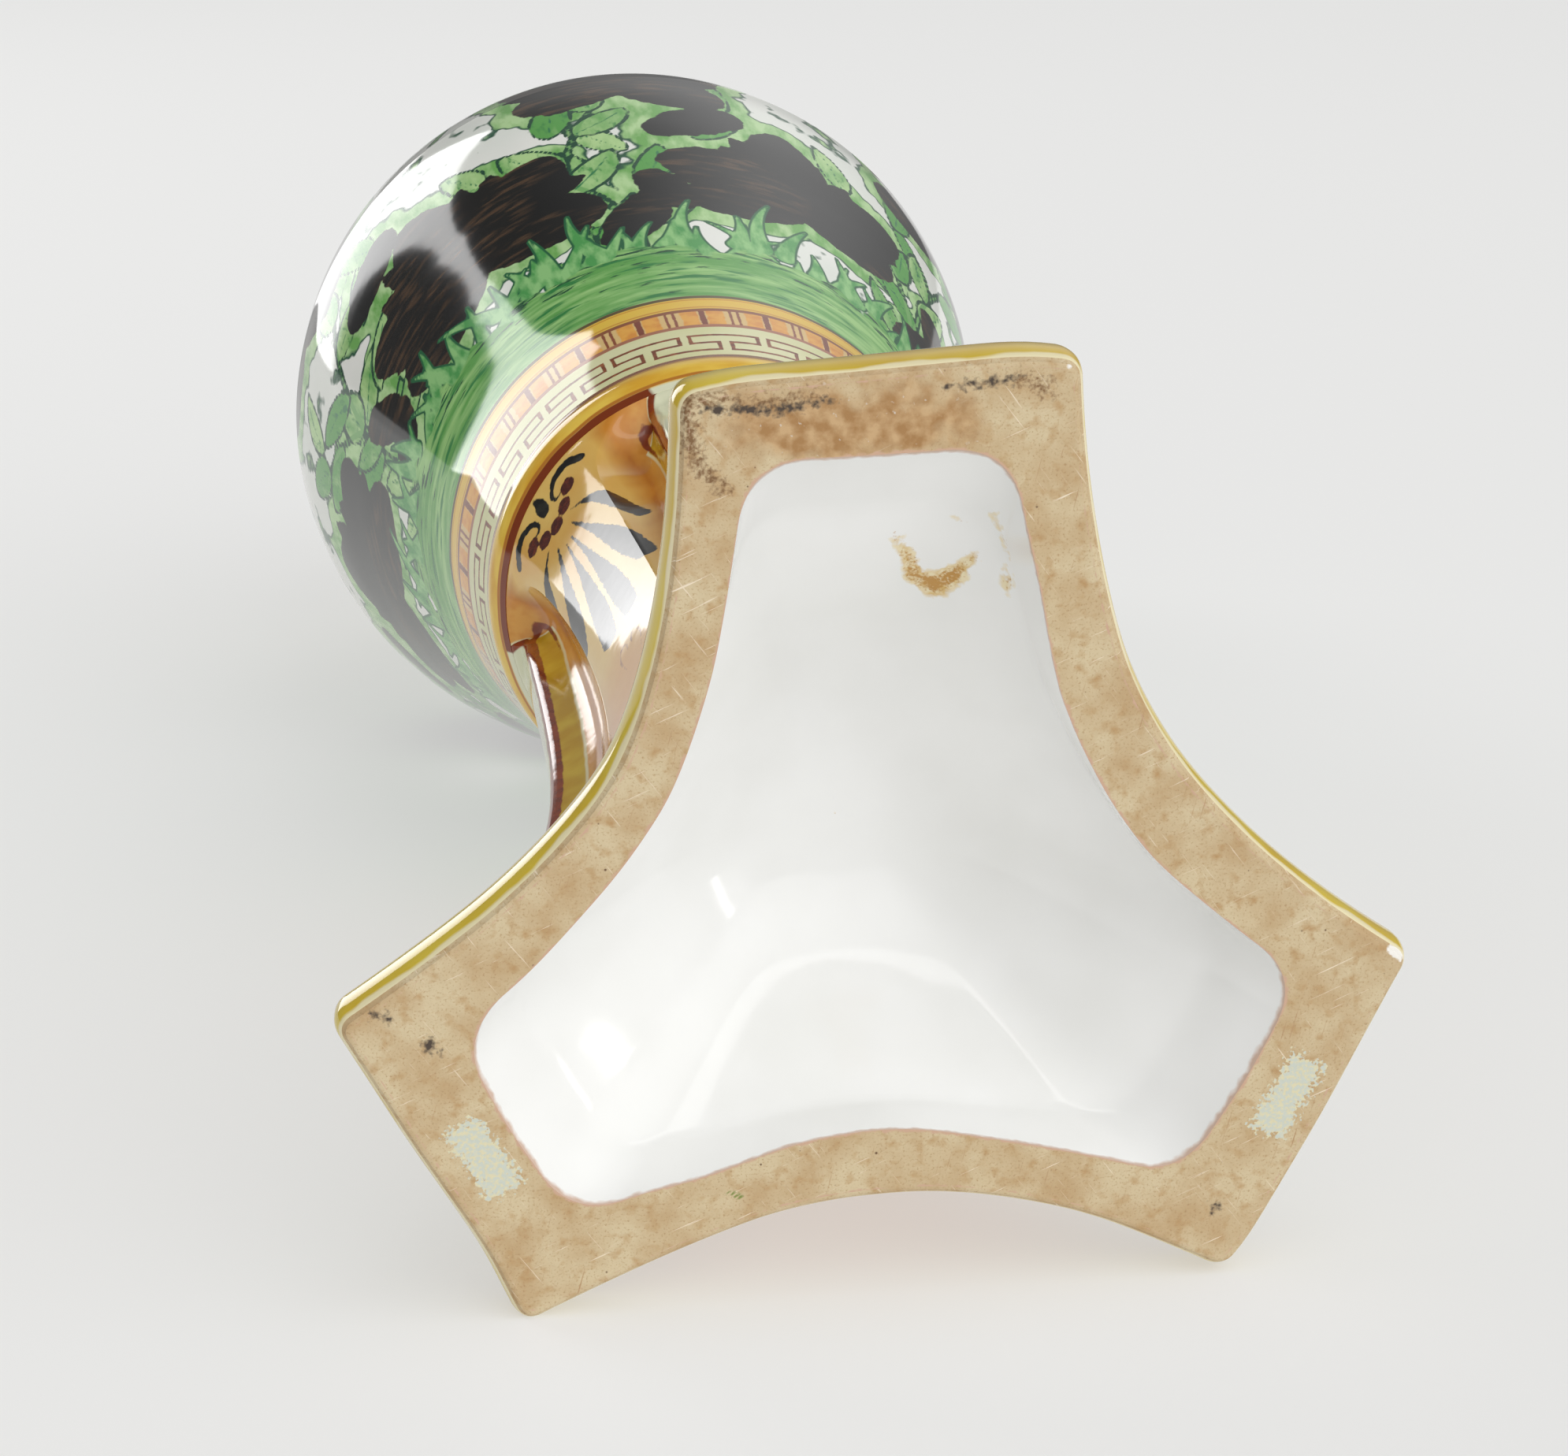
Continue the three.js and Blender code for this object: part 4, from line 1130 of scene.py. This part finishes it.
def bars(tree, place, cell_size, ends):
    """Distance in mm from a place in a cell to the nearest of some straight bars.

    Each bar is given by its two ends in the cell. The place relative to the bar's middle, made
    positive and less half the bar's size, has the larger of its two coordinates as its distance.
    """
    nearest = 100.0
    for x0, y0, x1, y1 in ends:
        middle = (x0 + x1) / 2, (y0 + y1) / 2, 0
        half_size = abs(x1 - x0) / 2 * cell_size[0], abs(y1 - y0) / 2 * cell_size[1], 0
        offset = add_node(tree, "VectorMath", {0: place, 1: middle}, operation="SUBTRACT")
        offset = add_node(tree, "VectorMath", {0: offset, 1: (*cell_size, 0)}, operation="MULTIPLY")
        offset = add_node(tree, "VectorMath", {0: offset}, operation="ABSOLUTE")
        offset = add_node(tree, "VectorMath", {0: offset, 1: half_size}, operation="SUBTRACT")
        x, y = (add_node(tree, "SeparateXYZ", {0: offset}, out=k) for k in range(2))
        away = add_node(tree, "Math", {0: x, 1: y}, operation="MAXIMUM")
        nearest = add_node(tree, "Math", {0: away, 1: nearest}, operation="MINIMUM")
    return nearest


# %% Yellow collar
leg_top = stem_top + 1.6
collar_lines = [(151.6, 152.3, "B5742A"), (156.4, 157.2, "B9862B"), (157.2, 159.2, red_brown)]


def paint_collar(tree):
    """Yellow, cream over the tops of the legs, with a dark line between them and lines above.

    A third of a turn makes a cell, and a leg's top is 0.3 of a cell wide about 0.75 of it.
    """
    place = cell_place(tree, arm_count, 0, leg_top)
    x, y = (add_node(tree, "SeparateXYZ", {0: place}, out=k) for k in range(2))
    away = add_node(tree, "Math", {0: x, 1: 0.75}, operation="SUBTRACT")
    away = add_node(tree, "Math", {0: away}, operation="ABSOLUTE")
    base = blots(tree, "E8C552", "D9A634", 9, 0.35, 0.68, 2, (1, 1, 3))
    base = cover(tree, base, y, 1.0, 0.997, cream[0])
    legless = ring_lines(tree, base, [(149.0, leg_top, brown[0])], 0.6)
    base = cover(tree, base, ragged(tree, away, (5, 0.03)), 0.15, 0.156, legless)
    return ring_lines(tree, base, collar_lines, 0.6)


collar_glaze = finish("yellow_collar_glaze", paint_collar, ripple=0.04)

# %% Sizes of the bands in mm
key_repeats, key_foot, key_height = 19, 161.3, 6.4
key_cell = (14.6, key_height)
key_bars = [(0, 0, 0.84, 0), (0.84, 0, 0.84, 0.5), (0.49, 0.5, 0.84, 0.5), (0.49, 0.5, 0.49, 1),
            (0.49, 1, 1, 1), (0, 1, 0.35, 1), (0.35, 0.5, 0.35, 1), (0, 0.5, 0.35, 0.5), (0, 0, 0, 0.5),
            (1, 0, 1, 0.5)]
block_repeats, block_foot, block_height = 24, 172.6, 6.8
block_cell = (12.0, block_height)
body_lines = [(171.4, 172.7, "A5684A"), (179.3, 180.8, "8A4A1C"), (180.7, 186.0, "E6BE3C"),
              (181.2, 181.8, "CF9426"), (185.0, 185.5, "CF9426"), (185.9, 187.1, "5A4A22"),
              (158.0, 158.8, red_brown)]
neck_lines = [(360.0, 366.2, "E0B83C"), (365.9, 366.9, brown[0]), (360.0, 361.0, brown[0]),
              (429.0, 429.9, brown[0]), (430.0, 431.0, brown[0]), (431.0, 445.0, "E0B83C")]

# %% The body's colours


def paint_picture(tree):
    """White ground, green leaves with dark outlines, scrolls and black shapes in a green halo."""
    halo, upright = [(7, 4.5)], grain(tree, 4.0, 4, (1, 1, 0.35))
    tone = add_node(tree, "Attribute", out=2, attribute_name="tone")
    shade = add_node(tree, "Math", {0: tone, 1: 0.5, 2: upright}, operation="MULTIPLY_ADD")
    green = cover(tree, "B2D592", shade, 0.45, 0.85, "58A04A")
    green = cover(tree, green, grain(tree, 1.6, 3, (1, 1, 0.3)), 0.58, 0.72, "3F8A42")
    black = blots(tree, "12110E", "4E3926", 4.0, 0.5, 0.66, 5, (0.5, 0.5, 2.6))
    black = cover(tree, black, grain(tree, 34), 0.5, 0.44, "0F0F0E")
    return coats(
        tree, blots(tree, *white_ground, 25),
        ("dark", halo, 5.4, 5.0, "1C5538"),
        ("dark", halo, 4.8, 4.3, cover(tree, "B4D79A", upright, 0.4, 0.62, "6DAA55")),
        ("leaf", [], 0.15, -0.15, green),
        ("stalk", [], stroke_edge, -stroke_edge, "74AC62"),
        ("vein", [(2, 0.3)], 0.15, -0.1, "2C7A48"),
        ("line", [(2.5, 0.35)], 0.5, 0.3, "12482F"),
        ("dark", [(2.5, 0.9)], 0.2, -0.1, black))


def paint_body(tree):
    """The picture over a meadow, then the blocks and the key pattern between ring lines."""
    meadow = blots(tree, "9CCB7E", "5FA24E", 5.0, 0.36, 0.6, 4, (0.35, 0.35, 2.2))
    patchy = ragged(tree, grain(tree, 3.0, 3, (0.3, 0.3, 2.0)), (16, 0.16))
    meadow = cover(tree, meadow, patchy, 0.54, 0.66, "2A7E3C")
    upper = add_node(tree, "MapRange", {0: height_in_mm(tree), 1: 196, 2: 206, 3: 0.0, 4: 0.16})
    strokes = add_node(tree, "Math", {0: grain(tree, 2.2, 3, (0.35, 0.35, 1.8)), 1: upper}, operation="ADD")
    meadow = cover(tree, meadow, strokes, 0.7, 0.76, "17522E")
    base = coats(
        tree, paint_picture(tree),
        ("blade", [], 0.6, 0.4, "1A5F38"),
        ("blade", [], 0.15, -0.15, blots(tree, "8FC67E", "4A9A4E", 2.5, 0.4, 0.62, 3, (1, 1, 0.3))),
        ("height", [(7, 10.0)], 208.5, 207.5, meadow),
        ("height", [], 187.2, 186.9, "D6D8A4"),
        ("height", [], 180.9, 180.7, "DDBB78"))
    blocks = cell_place(tree, block_repeats, block_foot, block_height)
    orange = blots(tree, "E8A83C", "DB8F2C", 2.5, 0.4, 0.65)
    for places, noise, low, high, colour in (((0.2, 0.8), (1.5, 0.5), 1.75, 1.45, orange),
                                             ((0, 1), (1.2, 0.25), 0.68, 0.5, brown[0]),
                                             ((0.44, 0.56), (1.2, 0.25), 0.36, 0.2, "8A451F")):
        upright = bars(tree, blocks, block_cell, [(x, 0, x, 1) for x in places])
        base = cover(tree, base, ragged(tree, upright, noise), low, high, colour)
    base = coats(tree, base, ("height", [], 172.7, 172.5, blots(tree, "DDDCAE", "D2D39A", 12)))
    keys = bars(tree, cell_place(tree, key_repeats, key_foot, key_height), key_cell, key_bars)
    key_brown = blots(tree, "6E3218", "94522A", 1.5, 0.4, 0.65)
    base = cover(tree, base, ragged(tree, keys, (1.6, 0.22)), 0.46, 0.3, key_brown)
    return ring_lines(tree, base, body_lines)


body_glaze = finish("painted_body_glaze", paint_body, roughness=0.07, ripple=0.03, ripple_size=12)

# %% Neck and handles


def paint_neck(tree):
    return ring_lines(tree, paint_picture(tree), neck_lines)


def paint_handle(tree):
    """Yellow edges, a brown line and a green band along the middle of the strap."""
    green = blots(tree, "A8D3A0", "4D9A55", 4, 0.4, 0.62, 4, (1, 1, 0.3))
    return coats(tree, blots(tree, *yellow, 10),
                 ("across", [(6, 0.8)], 5.4, 5.1, brown[0]), ("across", [(6, 0.8)], 4.3, 4.0, green))


neck_glaze = finish("painted_neck_glaze", paint_neck, roughness=0.07, ripple=0.03, ripple_size=12)
handle_glaze = finish("green_handle_glaze", paint_handle, ripple=0.04)

# %% Pieces and their finishes
set_in_frame(plinth, (dish_glaze, biscuit, side_glaze), "plinth_glaze", "plinth")
set_in_frame(core, (panel_glaze,), "panel_glaze", "stem_core")
for leg, node in zip(legs, ("leg_rear", "leg_left", "leg_right")):
    set_in_frame(leg, (leg_glaze,), "leg_glaze", node)
set_in_frame(collar, (collar_glaze,), "collar_glaze", "stem_collar")
set_in_frame(body_lower, (body_glaze,), "body_glaze", "body_lower")
set_in_frame(body_upper, (body_glaze,), "body_glaze", "body_upper")
set_in_frame(neck, (neck_glaze,), "neck_glaze", "neck")
set_in_frame(handles[0], (handle_glaze,), "handle_glaze", "handle_right")
set_in_frame(handles[1], (handle_glaze,), "handle_glaze", "handle_left")

# %% [markdown]
# ## The studio
# The vase lies on a pale table that runs on as far as the picture shows. Soft boxes light it from the
# back left and from above, and cards and a strip make the highlights in the glaze. Their directions
# were worked out from the highlights on the body, the panels and the dish.

# %% Table
# It glows a little by itself, like a table that is lit from below, and can't be seen from under it.
table_level, table_half = -59.5 * MM, 8.0
table_tone, table_glow = (0.42, 0.42, 0.415, 1), 0.574
table_normal = unit(np.array([-0.0153, 0.999, 0.041]))
to_camera = unit(np.array(view_back) - np.dot(view_back, table_normal) * table_normal)
to_right = np.cross(table_normal, to_camera)

table_material = bpy.data.materials.new("pale_table")
tree = emptied(table_material)
matt = add_node(tree, "BsdfDiffuse", {"Color": table_tone})
glow = add_node(tree, "Emission", {"Color": linear("E8E8E7"), "Strength": table_glow})
lit = add_node(tree, "AddShader", {0: matt, 1: glow})
clear = add_node(tree, "BsdfTransparent")
behind = add_node(tree, "NewGeometry", out=6)
one_sided = add_node(tree, "MixShader", {0: behind, 1: lit, 2: clear})
add_node(tree, "OutputMaterial", {"Surface": one_sided})
corners = [table_normal * table_level + table_half * (a * to_right + b * to_camera)
           for a, b in ((-1, -1), (-1, 1), (1, 1), (1, -1))]
table_mesh = bpy.data.meshes.new("table")
table_mesh.from_pydata([tuple(c) for c in corners], [], [(0, 1, 2, 3)])
table_mesh.materials.append(table_material)
table = linked("table", table_mesh)
print("table faces", tuple(round(c, 2) for c in table_mesh.polygons[0].normal))

# %% Soft boxes and cards
target = np.array([0.0, 0.0, 0.12])


def towards(ahead, right, rise):
    """A direction from its parts towards the camera and to the right, raised by an angle in radians."""
    return math.cos(rise) * (ahead * to_camera + right * to_right) + math.sin(rise) * table_normal


def soft_box(name, bearing, rise, width, height, distance, radiance, matt=True, gloss=True):
    """A rectangular light: its bearing is counted to the right from the camera's side and its rise
    from the table, both in degrees. Its power is the radiance times pi times its area.

    Matt light and gloss can be left out, so that a highlight keeps its shape while another light
    fills the shadows.
    """
    bearing, rise = math.radians(bearing), math.radians(rise)
    direction = towards(math.cos(bearing), math.sin(bearing), rise)
    data = bpy.data.lights.new(name, "AREA")
    data.shape = "RECTANGLE"
    data.size, data.size_y = width, height
    data.energy = radiance * math.pi * width * height
    light = linked(name, data)
    place = Matrix.Translation(target + distance * direction)
    side = unit(np.cross(table_normal, direction))
    light.matrix_world = place @ Matrix((side, np.cross(direction, side), direction)).transposed().to_4x4()
    light.visible_diffuse, light.visible_glossy = matt, gloss
    print(name, "stands at", tuple(round(c, 2) for c in light.matrix_world.translation))


# The numbers are bearing, rise, width, height and distance in metres, and radiance.
soft_box("soft_box_back_left", -121, 28, 1.2, 1.2, 2.6, 3.0, gloss=False)
soft_box("card_back_left", -145.5, 15, 0.87, 1.45, 2.6, 3.6, matt=False)
soft_box("soft_box_above", 30, 73, 0.65, 0.5, 2.2, 1.5, gloss=False)
soft_box("strip_above", 20, 64, 1.7, 0.35, 2.2, 1.5, matt=False)
soft_box("card_right", 69, 2.5, 0.15, 0.2, 2.6, 5.0, matt=False)

# %% Light from the room
# The room glows evenly, and more in two lobes: each adds its radiance times the cosine of the angle
# from its direction, raised to its power. The camera sees a plain backdrop instead.
room_glow = 0.14
lobes = (towards(0.8, 0.6, 0.45), 2.0, 1.9), (towards(-0.966, 0.26, 0.56), 14.0, 0.9)
world = bpy.data.worlds.new("studio")
bpy.context.scene.world = world
tree = emptied(world)
seen = add_node(tree, "LightPath", out=0)
glow_sum = room_glow
for direction, power, radiance in lobes:
    way = add_node(tree, "TexCoord")
    toward = add_node(tree, "VectorMath", {0: way, 1: direction}, out=1, operation="DOT_PRODUCT")
    toward = add_node(tree, "Math", {0: toward, 1: 0.0}, operation="MAXIMUM")
    toward = add_node(tree, "Math", {0: toward, 1: power}, operation="POWER")
    glow_sum = add_node(tree, "Math", {0: toward, 1: radiance, 2: glow_sum}, operation="MULTIPLY_ADD")
room = add_node(tree, "Background", {"Color": (1, 1, 1, 1), "Strength": glow_sum})
backdrop = add_node(tree, "Background", {"Color": linear("E7E7E6"), "Strength": 1.0})
sky = add_node(tree, "MixShader", {0: seen, 1: room, 2: backdrop})
add_node(tree, "OutputWorld", {"Surface": sky})
